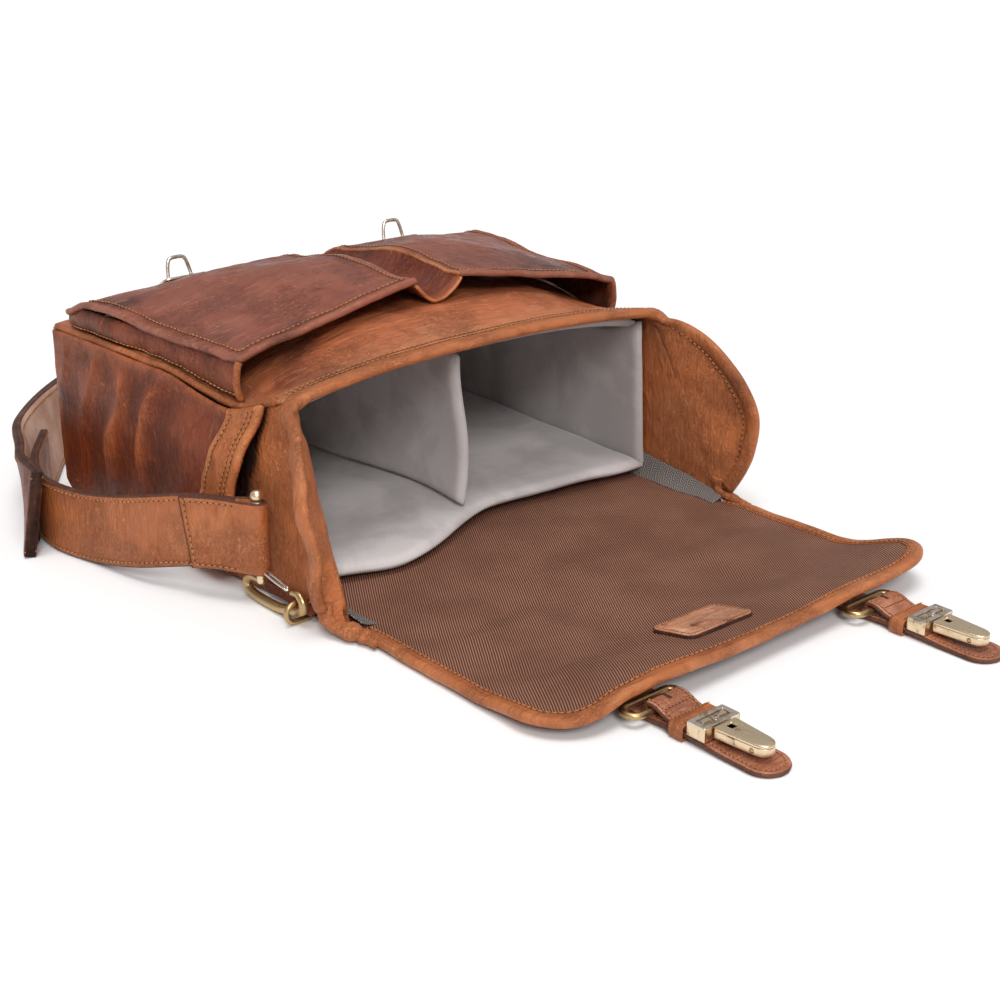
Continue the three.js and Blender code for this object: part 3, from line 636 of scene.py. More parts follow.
def metal(name, bright, patina, roughness, patina_share):
    """Old plated metal: bright where hands rub it and dull brown in its hollows."""
    s = Shader(name, Metallic=1.0)
    place = s.place()
    stain = s.noise(place, 130, 6, 0.68, 0.8)
    specks = s.noise(place, 900, 3, 0.6)
    colour = s.mix(s.spread(stain, 0.62 - patina_share * 0.35, 0.42 - patina_share * 0.2), bright, patina)
    colour = s.mix(s.spread(specks, 0.62, 0.75, 0, 0.45), colour, shade(patina, 0.7))
    gloss = s.spread(stain, 0.35, 0.65, roughness + 0.18, roughness)
    return s.finish(colour, gloss, s.bump(specks, 0.12, 0.0002))


def thread(name, colour):
    """Waxed thread with a fine twist."""
    s = Shader(name, Specular_IOR_Level=0.25)
    place = s.place()
    twist = s.noise(place, 2200, 2)
    tone = s.mix(s.spread(s.noise(place, 90, 2), 0.35, 0.65), shade(colour, 0.7), colour)
    return s.finish(tone, 0.7, s.bump(twist, 0.6, 0.0003))


# Each leather's dark, middle and light colour
BROWN = ((0.050, 0.009, 0.004), (0.165, 0.027, 0.007), (0.40, 0.105, 0.032))
RUSSET = ((0.085, 0.020, 0.012), (0.235, 0.060, 0.032), (0.40, 0.145, 0.085))
TAN = ((0.155, 0.034, 0.009), (0.35, 0.092, 0.024), (0.55, 0.195, 0.070))
FRONT = ((0.18, 0.042, 0.017), (0.44, 0.128, 0.050), (0.62, 0.270, 0.135))
FLANK = ((0.120, 0.024, 0.007), (0.400, 0.108, 0.030), (0.640, 0.220, 0.078))
WARM = ((0.24, 0.060, 0.016), (0.46, 0.125, 0.032), (0.66, 0.240, 0.085))
RED = ((0.11, 0.024, 0.010), (0.33, 0.092, 0.040), (0.60, 0.270, 0.160))

LEATHER = leather("leather_brown", *BROWN)
POCKET = leather("leather_pocket", *RUSSET, roughness=0.34, streak=(45, 200, 70))
TRIM = leather("leather_tan", *TAN, roughness=0.4)
SIDE = leather("leather_side", *FLANK, roughness=0.36)
HEM = leather("leather_hem", *WARM, roughness=0.42, blotch=24)
TAB = leather("leather_tab", *RED, roughness=0.26, blotch=30)
STRIP = leather("leather_front", *FRONT, roughness=0.36, streak=(40, 240, 60))
PATCH = leather("leather_patch", (0.22, 0.065, 0.028), (0.58, 0.250, 0.140), (0.80, 0.45, 0.29), blotch=80)
EDGE = leather("leather_edge", (0.030, 0.010, 0.006), (0.070, 0.022, 0.011), (0.16, 0.055, 0.028), 0.55, 120)
FLESH = suede("leather_flesh", (0.56, 0.30, 0.20), (0.82, 0.54, 0.40))
TWILL = twill("twill_brown", (0.075, 0.024, 0.013), (0.52, 0.250, 0.160), pitch=1.25, turn=58.0)
VELOUR = velour("velour_grey", (0.50, 0.46, 0.45), (0.66, 0.61, 0.60))
TAPE = herringbone("tape_grey", (0.05, 0.042, 0.04), (0.30, 0.26, 0.24))
BRASS = metal("brass_aged", (0.83, 0.66, 0.45), (0.26, 0.175, 0.09), 0.26, 0.5)
DARK_BRASS = metal("brass_dark", (0.55, 0.38, 0.19), (0.15, 0.085, 0.036), 0.3, 0.7)
NICKEL = metal("steel_catch", (0.78, 0.70, 0.62), (0.40, 0.31, 0.22), 0.2, 0.25)
THREAD = thread("thread_tan", (0.50, 0.22, 0.09))


# ---- Joining a piece to the CAD bodies ----

def place(piece, body, *nodes):
    """body is one body's name, which the piece is attached to, or (body, body, start, end) in mm that names
    where the piece would bend between two bodies; such a piece is only fixed where it lies, attached to
    neither.
    """
    if isinstance(body, str):
        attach(piece, body)
    else:
        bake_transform(piece)
    if nodes:
        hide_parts(*nodes)
    return piece


HINGE = ("root", "flap_top", (0, 0, 0), (0, -22, 0))
FOLD = ("flap_top", "flap_front", (0, FOLD_Y + 9, 0), (0, FOLD_Y - 9, 0))
CHORD_MIDDLE = (0.5 * (CHORD_LOW[0] + CHORD_HIGH[0]), 0.5 * (CHORD_LOW[1] + CHORD_HIGH[1]))
CHORD_OUT = (-0.894, 0.447)


def ear_bend(side):
    """Where the gusset's leather bends into the ear: from 2 mm inside the chord to 13 mm beyond it."""
    def at(reach):
        return (0, CHORD_MIDDLE[0] + reach * CHORD_OUT[0], CHORD_MIDDLE[1] + reach * CHORD_OUT[1])

    return ("root", f"ear_{side}", at(-2), at(13))


threads = {}


def stitches(group="root", body="root"):
    """The thread that sews a group of seams on one body; it becomes one piece at the end."""
    return threads.setdefault(group, (Thread(), body))[0]


def creased(grid, fine, broad, seed):
    """Moves a grid along its normals to make the leather's loose folds."""
    normal = normals_of(grid)
    move = rough(grid, 26, 3, seed) * broad + rough(grid, 9, 3, seed + 7) * fine
    return grid + normal * move[..., None]


def edge_field(rows, columns, reach=3, sides="udlr"):
    """1 at the chosen edges of a grid, falling to 0 a few points in."""
    i, j = np.meshgrid(np.arange(rows), np.arange(columns), indexing="ij")
    far = np.full((rows, columns), 1e9)
    for side, distance in (("u", i), ("d", rows - 1 - i), ("l", j), ("r", columns - 1 - j)):
        if side in sides:
            far = np.minimum(far, distance)
    return np.clip(1 - far / reach, 0, 1)


def plan(rows, columns):
    """A grid's two shares from 0 to 1, down its rows and along its columns."""
    return np.meshgrid(np.linspace(0, 1, rows), np.linspace(0, 1, columns), indexing="ij")


# ---- Body of the bag ----

CORNER = 22.0  # radius of the turn from the back panel into the bottom of the bag


def low_edge(y):
    """Height of the gusset's lower edge, which rises round the bag's bottom corner."""
    past = np.clip(y - (BOTTOM_Y + 3 - CORNER), 0, CORNER)
    return 3.4 + CORNER - np.sqrt(CORNER**2 - past**2 + 1e-9)


def build_back_panel():
    """The back panel lies on the floor and turns up into the bottom of the bag."""
    u, v = plan(60, 90)
    flat_share = 0.8
    straight = BOTTOM_Y + 3 - CORNER
    turn = np.clip((v - flat_share) / (1 - flat_share), 0, 1) * 0.5 * np.pi
    y = np.where(v < flat_share, lerp(-5.0, straight, v / flat_share), straight + CORNER * np.sin(turn))
    grid = xyz(lerp(-1, 1, u) * (half_width(y, 0) - 0.5), y, 3.0 + CORNER * (1 - np.cos(turn)))
    place(shell("panel_back", grid, 3.0, [LEATHER, LEATHER, EDGE]), "root", "back_panel")


def build_front_panel():
    u, v = plan(110, 90)
    y = lerp(MOUTH_Y + 0.5, BOTTOM_Y + 3, v)
    x = lerp(-1, 1, u) * half_width(y, BODY_TOP)
    sag = 1.6 * rough(xyz(x, y, 0), 45, 2, 3.1) * smooth(MOUTH_Y, MOUTH_Y + 16, y)
    grid = creased(xyz(x, y, front_top(x, y) + sag), 0.35, 0.5, 1.7)
    worn = 0.45 * bump(MOUTH_Y, 18, y) + 0.4 * edge_field(110, 90, 3)
    place(shell("panel_front", grid, SKIN, [STRIP, VELOUR, STRIP], worn), "root", "front_panel")


def build_bottom_panel():
    u, v = plan(70, 30)
    x = lerp(-1, 1, u) * (half_width(BOTTOM_Y, BODY_TOP) - 1)
    z = lerp(3.0 + CORNER, front_top(x, BOTTOM_Y + 3) - SKIN, v)
    swell = 3 * np.sin(np.pi * u) * np.sin(np.pi * v)
    grid = creased(xyz(x, BOTTOM_Y + 2.6 + swell, z), 0.3, 0.8, 5.2)
    place(shell("panel_bottom", grid, SKIN, [LEATHER] * 3, flip=True), "root", "bottom_panel")


def build_piping(side, s):
    """Piping along the front panel, down the bottom's end, round its corner and back along the back panel."""
    seam = [(half_width(y, BODY_TOP) + 0.2, y, gusset_top(y) + 2.2) for y in range(58, 259, 10)]
    seam += [(half_width(BOTTOM_Y, z) - 0.8, BOTTOM_Y + 1.4, z) for z in range(96, 30, -12)]
    low, middle = half_width(BOTTOM_Y, 3) - 0.8, BOTTOM_Y + 1.4 - CORNER
    for a in np.linspace(1.45, 0, 8):
        seam.append((low, middle + CORNER * math.sin(a), 2.6 + CORNER * (1 - math.cos(a))))
    seam += [(half_width(y, 3) - 0.2, y, 2.6) for y in range(222, 60, -20)]
    path = spline(np.array(seam) * (s, 1, 1), 3)
    path += 0.5 * rough(path, 20, 2, 8.0)[:, None]
    place(sweep(f"piping_{side}", path, UP, oval(2.3, 2.3, 10), TRIM, np.full(len(path), 0.3)), "root")


# Each ear's free edge from the mouth's top corner to the hinge, as (y, z), and how far it flares outwards
EARS = {
    "left": {
        "rim": [(47, 104), (33, 103), (20, 95), (12, 80), (6, 65), (2, 50), (4, 32), (6, 16), (0, 6)],
        "flare": [(0, 4), (0.14, 12), (0.32, 19), (0.52, 22), (0.75, 16), (1, 9)],
    },
    "right": {
        "rim": [(47, 104), (26, 100), (5, 89), (-11, 76), (-21, 61), (-23, 45), (-19, 27), (-10, 10),
                (-2, 6)],
        "flare": [(0, 0), (0.3, 7), (0.6, 8), (1, 0)],
    },
}


def ear_rim(side, t):
    """Y and Z of the ear's free edge at shares of its length."""
    line = spline([(0, y, z) for y, z in EARS[side]["rim"]], 1.0)
    at = np.clip(t, 0, 1) * (len(line) - 1)
    return np.interp(at, range(len(line)), line[:, 1]), np.interp(at, range(len(line)), line[:, 2])


def side_surface(side, s, rows, columns):
    """The gusset as a grid from the bottom of the bag to the chord, and on across the ear to its rim."""
    v = np.linspace(0, 1, rows)[:, None]
    nominal = lerp(3.4, BODY_TOP, v)
    u = np.linspace(0, 1, columns[0])[None, :]
    y = lerp(BOTTOM_Y, chord_y(nominal), u)
    z = lerp(low_edge(y), gusset_top(y) - 0.4, v)
    x = gusset_outer(y, z)
    gusset = xyz(x, y, z)
    share = np.linspace(0, 1, columns[1])[None, 1:]
    rim_y, rim_z = ear_rim(side, 1 - v)
    root = gusset[:, -1]
    y = lerp(root[:, 1:2], rim_y, share)
    z = lerp(root[:, 2:3], rim_z, share)
    x = root[:, :1] + through(EARS[side]["flare"], 1 - v) * share
    grid = np.concatenate([gusset, xyz(x, y, z)], axis=1)
    grid[..., 0] *= s
    return grid


def build_side(side, s):
    """One sheet of leather is the gusset and the ear, as on the bag."""
    rows, columns = 56, (84, 34)
    grid = side_surface(side, s, rows, columns)
    y, z = grid[..., 1], grid[..., 2]
    share_up = np.linspace(0, 1, rows)[:, None]
    inside = smooth(-3, 1, y - slip_mouth(share_up))
    folds = 2.2 * rough(xyz(y, z * 0.35, s), 24, 2, 4.0)
    folds *= smooth(56, 70, y) * (1 - inside)
    ear = np.zeros(grid.shape[:2])
    ear[:, columns[0]:] = np.linspace(0, 1, columns[1] - 1)
    ripple = 4.2 * rough(xyz(z, y * 0.45, 5 * s), 34, 2, 9.0)
    ripple *= np.sin(np.pi * ear**0.8)
    grid[..., 0] += s * (folds + ripple)
    grid = creased(grid, 0.35, 0.5, 2.2 * s)
    # The gusset in front of the slip pocket and the ear are paler tan, with painted highlights on the
    # ripple's outward crests; the ear's rim is paler still from wear.
    tan_and_highlight = np.clip(0.45 + 0.13 * ripple, 0, 1) * smooth(100, 70, y)
    worn = np.maximum(tan_and_highlight, 0.9 * edge_field(*grid.shape[:2], 4, "r"))
    # Painted shade: the gusset behind the slip pocket is set nearly black through the dark field, so the
    # pocket's mouth shows as a dark slit; the ear is left out.
    piece = shell(f"side_{side}", grid, SKIN, [SIDE, SIDE, TRIM], worn, inside * (1 - ear), flip=s < 0)
    place(piece, ear_bend(side), f"gusset_{side}", f"ear_{side}")

    # Binding folded over the ear's rim; it starts inside the mouth's binding
    outward = normals_of(grid) * s
    rim = (grid[3:-1, -1] - 0.5 * SKIN * outward[3:-1, -1])[::-1]
    start = [(s * x, MOUTH_Y - 1.4, float(front_top(x, MOUTH_Y + 2)) - 0.8) for x in (121.0, 129.5)]
    rim = spline(np.vstack([start, rim[2::3]]), 2.0)
    far = np.linspace(0, 2.0 * len(rim), len(rim))[:, None]
    facing = lerp(UP, np.array([s, 0.0, 0.0]), smooth(8, 34, far))
    tone = 0.35 + 0.4 * np.abs(rough(rim, 18, 2, 2.0))
    place(sweep(f"ear_binding_{side}", rim, facing, oval(4.6, 2.7, 18, 2.4), TRIM, tone), ear_bend(side))
    line, out = grid[3:-2, -6], outward[3:-2, -6]
    for lift, turn in ((0.45, 1), (-SKIN - 0.45, -1)):
        stitches(f"ear_{side}", ear_bend(side)).row(line + lift * out, turn * out)


def slip_mouth(v):
    """Y of the slip pocket's mouth; it leans towards the bag's mouth at the top."""
    return through([(0, 96), (0.4, 84), (0.55, 79), (0.75, 73), (1, 65)], v)


def slip_room(u, v):
    """How far the slip pocket stands off the gusset: open at its mouth, sewn down at its top and bottom."""
    return lerp(8, 0.4, smooth(0.1, 0.9, u)) * (1 - 0.85 * smooth(0.7, 1, v)) * smooth(0, 0.15, v)


def build_slip_pocket(side, s):
    """The open pocket on the gusset: loose leather in soft upright folds, with a hemmed mouth."""
    rows, columns = 60, 110
    v, u = plan(rows, columns)
    mouth = slip_mouth(v)
    y = lerp(mouth, BOTTOM_Y - 0.5, u)
    z = lerp(low_edge(y) + 0.1, gusset_top(y) + 1.0, v)
    room = slip_room(u, v)
    loose = np.sin(np.pi * u) ** 0.6 * (1 - smooth(0.86, 1, v)) * smooth(0.13, 0.36, u)
    slope = (y - BOTTOM_Y) + 0.28 * (z - 50)
    wander = 1.3 * rough(xyz(y, z, 0), 60, 2, 3.3 * s)
    wave = np.abs(np.sin(slope / 10.5 + wander))
    folds = 4.6 * (1 - wave) ** 1.5 * (0.25 + 0.75 * smooth(0.05, 0.6, v))
    dents = 2.2 * rough(xyz(y, z * 0.35, s), 26, 2, 6.4)
    relief = loose * (folds + dents)
    relief = 0.5 * (relief + np.sqrt(relief**2 + 1))
    x = s * (gusset_outer(y, z) + room + 3.4 + relief)
    grid = creased(xyz(x, y, z), 0.3, 0.3, 3.3 * s)
    # Paler with painted highlights on the fold crests, paler towards the pocket's top at its far end, and
    # paler from real wear along its edges.
    worn = 0.15 + 0.75 * smooth(1.2, 4.4, relief) + 0.5 * smooth(0.55, 1, v) * smooth(0.45, 0.95, u)
    worn = np.maximum(np.clip(worn, 0, 1), 0.8 * edge_field(rows, columns, 4, "dr"))
    # Painted shade darkens the valleys between the folds.
    painted_fold_shade = 0.3 * loose * smooth(0.6, 1, wave)
    piece = shell(f"slip_pocket_{side}", grid, 2.2, [LEATHER] * 3, worn, painted_fold_shade, flip=s > 0)
    place(piece, "root", f"slip_pocket_{side}")

    # Hem band along the pocket's mouth
    hem_columns = 15
    hem = grid[:, :hem_columns].copy()
    hem[..., 0] += s * 1.3
    hem[:, 0, 1] -= 0.8
    worn = 0.15 + 0.6 * edge_field(rows, hem_columns, 2, "lr")
    place(shell(f"slip_hem_{side}", hem, 4.2, [HEM] * 3, worn, flip=s > 0), "root")
    normal = np.array([s, 0.0, 0.0])
    for column in (2, 4, hem_columns - 3):
        stitches().row(hem[2:-2, column] + normal * 0.25, normal)


def build_mouth_binding():
    x = np.linspace(-134, 134, 120)
    z = front_top(x, MOUTH_Y + 2) - 0.5 * SKIN + 0.6
    y = MOUTH_Y - 1.2 + 0.8 * rough(xyz(x, 0, 0), 40, 2)
    drop = smooth(120, 134, np.abs(x))
    path = xyz(x, y, z - 3 * drop)
    piece = sweep("mouth_binding_roll", path, UP, oval(4.8, 3.0, 18, 2.4), TRIM, 0.4 + 0 * x)
    place(piece, "root", "mouth_binding")
    for offset in (5.8, 8.6):
        line = xyz(x, MOUTH_Y + offset, front_top(x, MOUTH_Y + offset) + 0.7)
        stitches().row(line[3:-3], UP)


# ---- Front pockets ----

def build_pocket(side, s):
    build_pocket_face(side, s)
    build_pocket_wall(side, s)


def build_pocket_face(side, s):
    rows, columns = 74, 84
    u, v = plan(rows, columns)
    y = lerp(lerp(92, 88, u), POCKET_END, v)
    x = lerp(POCKET_IN, pocket_outer(y), u)
    z = pocket_top(x, y)
    flat = xyz(s * x, y, 0)
    sag = -2.6 * bump(0.62, 0.2, u) * bump(0.4, 0.25, v) + 1.4 * rough(flat, 46, 2, 5.5 * s)
    curl = 1.4 * edge_field(rows, columns, 6, "l") - 3.5 * bump(1, 0.14, u) * bump(0, 0.14, v)
    curl += 1.6 * np.sin(v * 8.5 + 1.2) * bump(1, 0.25, u)
    grid = creased(xyz(s * x, y, z + sag + curl), 0.3, 0.4, 4.4 * s)
    worn = 0.75 * edge_field(rows, columns, 2) + 0.3 * np.clip(rough(flat, 30, 3, 2.2), 0, 1)
    piece = shell(f"pocket_{side}", grid, SKIN, [POCKET, POCKET, TRIM], worn, flip=s < 0)
    place(piece, "root", f"pocket_face_{side}")

    # A line of stitches runs 4 mm inside the edge
    around = [(3, j) for j in range(3, columns - 3)] + [(i, columns - 3) for i in range(3, rows - 3)]
    around += [(rows - 4, j) for j in range(columns - 3, 2, -1)] + [(i, 3) for i in range(rows - 4, 2, -1)]
    i, j = np.array(around).T
    up = normals_of(grid)[i, j] * s
    stitches().row(grid[i, j] + 0.3 * up, up)

    # The face's edge is turned over a cord
    edge_line = [grid[i, 0] for i in range(0, rows, 2)] + [grid[-1, j] for j in range(0, columns, 2)]
    edge_line += [grid[i, -1] for i in range(rows - 1, 0, -2)]
    roll = resample(np.array(edge_line), 2.0) - (0, 0, 1.2)
    tone = 0.45 + 0.3 * rough(roll, 25, 2, 4.0)
    place(sweep(f"pocket_roll_{side}", roll, UP, oval(2.2, 2.0, 12), POCKET, tone), "root")


def build_pocket_wall(side, s):
    """The pocket's puffed wall, round its outer side and its bottom end."""
    u, v = plan(150, 22)
    corner = 0.68
    along = np.clip(u / corner, 0, 1)
    past = np.clip((u - corner) / (1 - corner), 0, 1)
    y = lerp(89.0, POCKET_END - 0.5, along)
    x = lerp(pocket_outer(y), 19.0, past) - 0.3
    low = front_top(x, y) + 1.2
    high = pocket_top(x, y) - SKIN - 0.2
    turn = smooth(0.93, 1, along)
    out_x, out_y = np.cos(0.5 * np.pi * turn), np.sin(0.5 * np.pi * turn)
    puff = 2.8 * np.sin(np.pi * v) ** 0.8 * (1 + 0.5 * rough(xyz(x, y, 10 * v), 20, 2, 7.7))
    puff += 0.9 * rough(xyz(x * 1.6, y * 1.6, 14 * v), 12, 3, 1.1)
    wall = xyz(s * (x + out_x * puff), y + out_y * puff, lerp(low, high, v))
    wall = creased(wall, 0.3, 0.0, 6.6 * s)
    piece = shell(f"pocket_side_{side}", wall, 2.2, [LEATHER] * 3, 0.35 * np.sin(np.pi * v), flip=s < 0)
    place(piece, "root", f"pocket_wall_{side}")
    lip = spline(wall[0, ::3] + np.array([s * 0.4, -0.6, 0]), 1.5)
    place(sweep(f"pocket_lip_{side}", lip, (0, 1, 0), oval(2.0, 2.0, 12), TRIM, 0.3 + 0 * lip[:, 0]), "root")
    outward = xyz(s * out_x[2:-2, 3], out_y[2:-2, 3], 0)
    stitches().row(wall[2:-2, 3] + (0.5, 0, 0) * outward, outward)


def build_valley():
    """The trough of leather between the two front pockets."""
    rows, columns = 50, 70
    u, v = plan(rows, columns)
    across = lerp(-1, 1, u)
    y = lerp(90.0, POCKET_END, v)
    floor = front_top(0, y) + 3
    rim = np.maximum(pocket_inner_top(y) - 1.5, floor + 0.5)
    sag = 1.2 * rough(xyz(20 * across, y, 0), 18, 2, 3.0)
    z = lerp(floor, rim, np.abs(across) ** 1.9) + sag * (1 - np.abs(across))
    grid = creased(xyz(across * (POCKET_IN - 0.6), y, z), 0.3, 0.2, 1.0)
    worn = 0.8 * edge_field(rows, columns, 3, "l")
    place(shell("valley", grid, 2.0, [LEATHER, LEATHER, TRIM], worn), "root", "pocket_valley")


def pocket_frame(s, y):
    """The place and the axes (across the bag, down it, out) of a fitting on a front pocket."""
    def on(x, y):
        return np.array([s * x, y, float(pocket_top(x, y))])

    down = unit(on(STRAP_X, y + 6) - on(STRAP_X, y - 6))
    across = unit((on(STRAP_X + 12, y) - on(STRAP_X - 12, y)) * s)
    out = unit(np.cross(across, down))
    return on(STRAP_X, y) + out * 0.9, np.stack([across, np.cross(out, across), out])


def build_catch(side, s):
    """The wire loop on the front pocket that the clasp's lever hooks on."""
    origin, axes = pocket_frame(s, 234.0)
    outline = rounded_outline(15, 6, 4.5) - (0, 3.5)
    plate = plate_mesh(f"catch_plate_{side}", outline, 0, 1.6, 0.5, NICKEL, origin, axes)
    place(plate, "root", f"loop_plate_{side}")
    bend = [(-8.0, 0, 1.2), (-7.4, -1.0, 6), (-6.4, -2.4, 11), (-4.6, -3.4, 14.0), (0, -3.6, 14.6)]
    bend += [(-x, y, z) for x, y, z in bend[-2::-1]]
    path = spline(bend, 0.8) @ axes + origin
    wire = sweep(f"catch_loop_{side}", path, axes[1], oval(1.15, 1.15, 12), NICKEL)
    place(wire, "root", f"wire_loop_{side}")
    for letter, x in (("a", -11.4), ("b", 11.4)):
        centre = origin + axes[0] * x - axes[1] * 3.5 + axes[2] * 1.5
        dome(f"catch_rivet_{side}_{letter}", centre, axes, 1.7, 0.9, NICKEL)


def rounded_outline(half_x, half_y, radius, steps=7):
    points = []
    for quarter in range(4):
        cx = (half_x - radius) * (1 if quarter in (0, 3) else -1)
        cy = (half_y - radius) * (1 if quarter < 2 else -1)
        for k in range(steps + 1):
            angle = 0.5 * np.pi * (quarter + k / steps)
            points.append((cx + radius * np.cos(angle), cy + radius * np.sin(angle)))
    return np.array(points)


def shrink(outline, amount):
    """Moves a closed outline inwards by an amount, along the mean of its neighbouring edges' normals."""
    ahead = unit(np.roll(outline, -1, axis=0) - outline + 1e-9)
    behind = unit(outline - np.roll(outline, 1, axis=0) + 1e-9)
    tangent = unit(ahead + behind)
    return outline + np.stack([-tangent[:, 1], tangent[:, 0]], axis=1) * amount


def plate_mesh(name, outline, low, high, bevel, material, origin=(0, 0, 0), axes=None, holes=()):
    """A flat plate with softened edges from an outline; holes are outlines too."""
    axes = np.eye(3) if axes is None else axes
    outlines = bpy.data.curves.new(name, "CURVE")
    outlines.dimensions = "2D"
    outlines.fill_mode = "BOTH"
    for line in (outline, *holes):
        loop = outlines.splines.new("POLY")
        loop.points.add(len(line) - 1)
        for point, (x, y) in zip(loop.points, line):
            point.co = (x * MM, y * MM, 0, 1)
        loop.use_cyclic_u = True
    outlines.extrude = (high - low) / 2 * MM - bevel * MM
    outlines.bevel_depth = bevel * MM
    outlines.bevel_resolution = 2
    outlines.offset = -bevel * MM
    holder = bpy.data.objects.new(name, outlines)
    bpy.context.scene.collection.objects.link(holder)
    depsgraph = bpy.context.evaluated_depsgraph_get()
    mesh = bpy.data.meshes.new_from_object(holder.evaluated_get(depsgraph))
    bpy.data.objects.remove(holder)
    points = np.array([v.co for v in mesh.vertices]) / MM
    points[:, 2] += (high + low) / 2
    points = points @ axes + np.asarray(origin)
    mesh.vertices.foreach_set("co", (points * MM).astype(np.float32).ravel())
    mesh.materials.clear()
    mesh.materials.append(material)
    mesh.name = name
    piece = bpy.data.objects.new(name, mesh)
    bpy.context.scene.collection.objects.link(piece)
    weld_and_smooth(mesh)
    return piece


def weld_and_smooth(mesh):
    """Joins doubled points and shades smoothly across edges of less than 40 degrees."""
    work = bmesh.new()
    work.from_mesh(mesh)
    bmesh.ops.remove_doubles(work, verts=work.verts, dist=1e-6)
    bmesh.ops.recalc_face_normals(work, faces=work.faces)
    for edge in work.edges:
        edge.smooth = edge.calc_face_angle(0) < math.radians(40)
    for face in work.faces:
        face.smooth = True
    work.to_mesh(mesh)
    work.free()


def dome(name, centre, axes, radius, height, material, body="root"):
    """A rivet's head."""
    sides, levels = 20, 6
    verts = []
    for rise in np.linspace(0, 0.5 * np.pi, levels, endpoint=False):
        for turn in np.linspace(0, 2 * np.pi, sides, endpoint=False):
            reach = radius * np.cos(rise)
            local = np.array([reach * np.cos(turn), reach * np.sin(turn), height * np.sin(rise)])
            verts.append(local @ axes + centre)
    verts.append(axes[2] * height + centre)
    last = (levels - 1) * sides
    faces = tube_faces(levels, sides)
    faces += [[last + j, last + (j + 1) % sides, last + sides] for j in range(sides)]
    faces.append(list(range(sides))[::-1])
    return place(make(name, verts, faces, material), body)


# ---- Padded insert ----

PAD_OUT = SKIN + 0.9  # from the gusset's outer face to the side pad
SLOT_TOP = low_high("insert_back")[0][2]
INSERT_END = low_high("insert_back")[1][1]


def pad_outer(y, z):
    return half_width(y, z) - PAD_OUT


def between_pads(u, y, z):
    """X across the room between the side pads, at shares u."""
    return lerp(-1, 1, u) * (pad_outer(y, z) - PAD - 0.8)


def roof_under(x, y):
    """Height of the front pad's lower face."""
    return front_top(x, y) - SKIN - 2 - PAD


def pad(name, grid, thick, fill, body, *nodes):
    """A foam pad in velour round a middle surface; it thins towards its sewn edge."""
    rows, columns = grid.shape[:2]
    du = np.linalg.norm(np.gradient(grid, axis=0), axis=2)
    dv = np.linalg.norm(np.gradient(grid, axis=1), axis=2)
    down, along = np.cumsum(du, axis=0) - du, np.cumsum(dv, axis=1) - dv
    far = np.minimum(np.minimum(down, down[-1:] - down), np.minimum(along, along[:, -1:] - along))
    near = 1 - np.clip(far / (0.85 * thick), 0, 1)
    half = 0.5 * thick * (0.22 + 0.78 * np.sqrt(1 - near**2)) * (1 + 0.08 * rough(grid, 30, 2, 2.5))
    normal = normals_of(grid)
    top, low = grid + normal * half[..., None], grid - normal * half[..., None]
    ring = border(rows, columns)
    index = ring[:, 0] * columns + ring[:, 1]
    following = np.roll(index, -1)
    face, count = quads(rows, columns), rows * columns
    rim = np.stack([index, index + count, following + count, following], axis=1)
    faces = np.vstack([face, face[:, ::-1] + count, rim])
    piece = make(name, np.vstack([top.reshape(-1, 3), low.reshape(-1, 3)]), faces, VELOUR)
    return place(piece, body, *nodes)


PAD_EDGE = [(-134, 44), (-123, 40), (-78, 32), (20, 60), (63, 56), (130, 50)]


def build_back_pad():
    """The pad the camera lies on; its free edge, as (x, y), sags out of the mouth on the left."""
    u, v = plan(80, 70)
    x = lerp(-1, 1, u) * (half_width(150, 12) - PAD_OUT - PAD - 2)
    y = lerp(through(PAD_EDGE, x), INSERT_END, v)
    x = between_pads(u, y, 12)
    z = SLOT_TOP + 3.5 - 2.2 * smooth(62, 34, y) + 1.2 * rough(xyz(x, y, 0), 50, 2, 6.0)
    pad("pad_back", xyz(x, y, z), 7.0, 0.6, "root", "insert_back")


def build_other_pads():
    u, v = plan(80, 70)
    y = lerp(56.0, INSERT_END, v)
    x = between_pads(u, y, 95)
    pad("pad_front", xyz(x, y, roof_under(x, y) + PAD / 2), PAD, 0.6, "root", "insert_front")

    z = lerp(14, 98, v)
    y = INSERT_END + 4
    pad("pad_floor", xyz(between_pads(u, y, z), y, z), PAD, 0.6, "root", "insert_floor")

    for side, s in SIDES:
        y = lerp(54.0, BOTTOM_Y - 0.8, u)
        z = lerp(4, gusset_top(y) - 3, v)
        x = s * (pad_outer(y, z) - PAD / 2 - 0.6 * rough(xyz(0, y, z), 40, 2, s))
        pad(f"pad_{side}", xyz(x, y, z), PAD, 0.6, "root", f"insert_{side}")


def build_divider():
    """The movable pad between the camera and the lenses, slightly bowed."""
    u, v = plan(80, 70)
    y = lerp(60.0, INSERT_END - 1, u)
    z = lerp(SLOT_TOP + PAD + 2.6, roof_under(30, y) - 2.5, v)
    bow = 5 * np.sin(2 * np.pi * u) + 3.0 * np.sin(1.6 * np.pi * v) * (1 - u)
    pad("divider_pad", xyz(-9.5 + bow, y, z), 7.0, 0.7, "divider", "divider")


def build_tapes():
    """Woven tape covers the seam between each ear and the lining."""
    for side, s in SIDES:
        u, v = plan(14, 60)
        y = lerp(62.0, -10.0, v)
        x = 134.2 - 0.4 * smooth(20, -10, y) - 9.5 * u + 1.0 * np.sin(v * 9) * u
        z = 4.6 + 13.0 * (1 - u) ** 1.6 * lerp(0.95, 0.25, v)
        grid = xyz(s * x, y, z + 0.5 * rough(xyz(x, y, z), 10, 2))
        bend = ("root", "flap_top", (0, 4, 0), (0, -18, 0))
        place(shell(f"tape_{side}", grid, 0.7, [TAPE] * 3, flip=s < 0), bend)


# ---- Flap ----

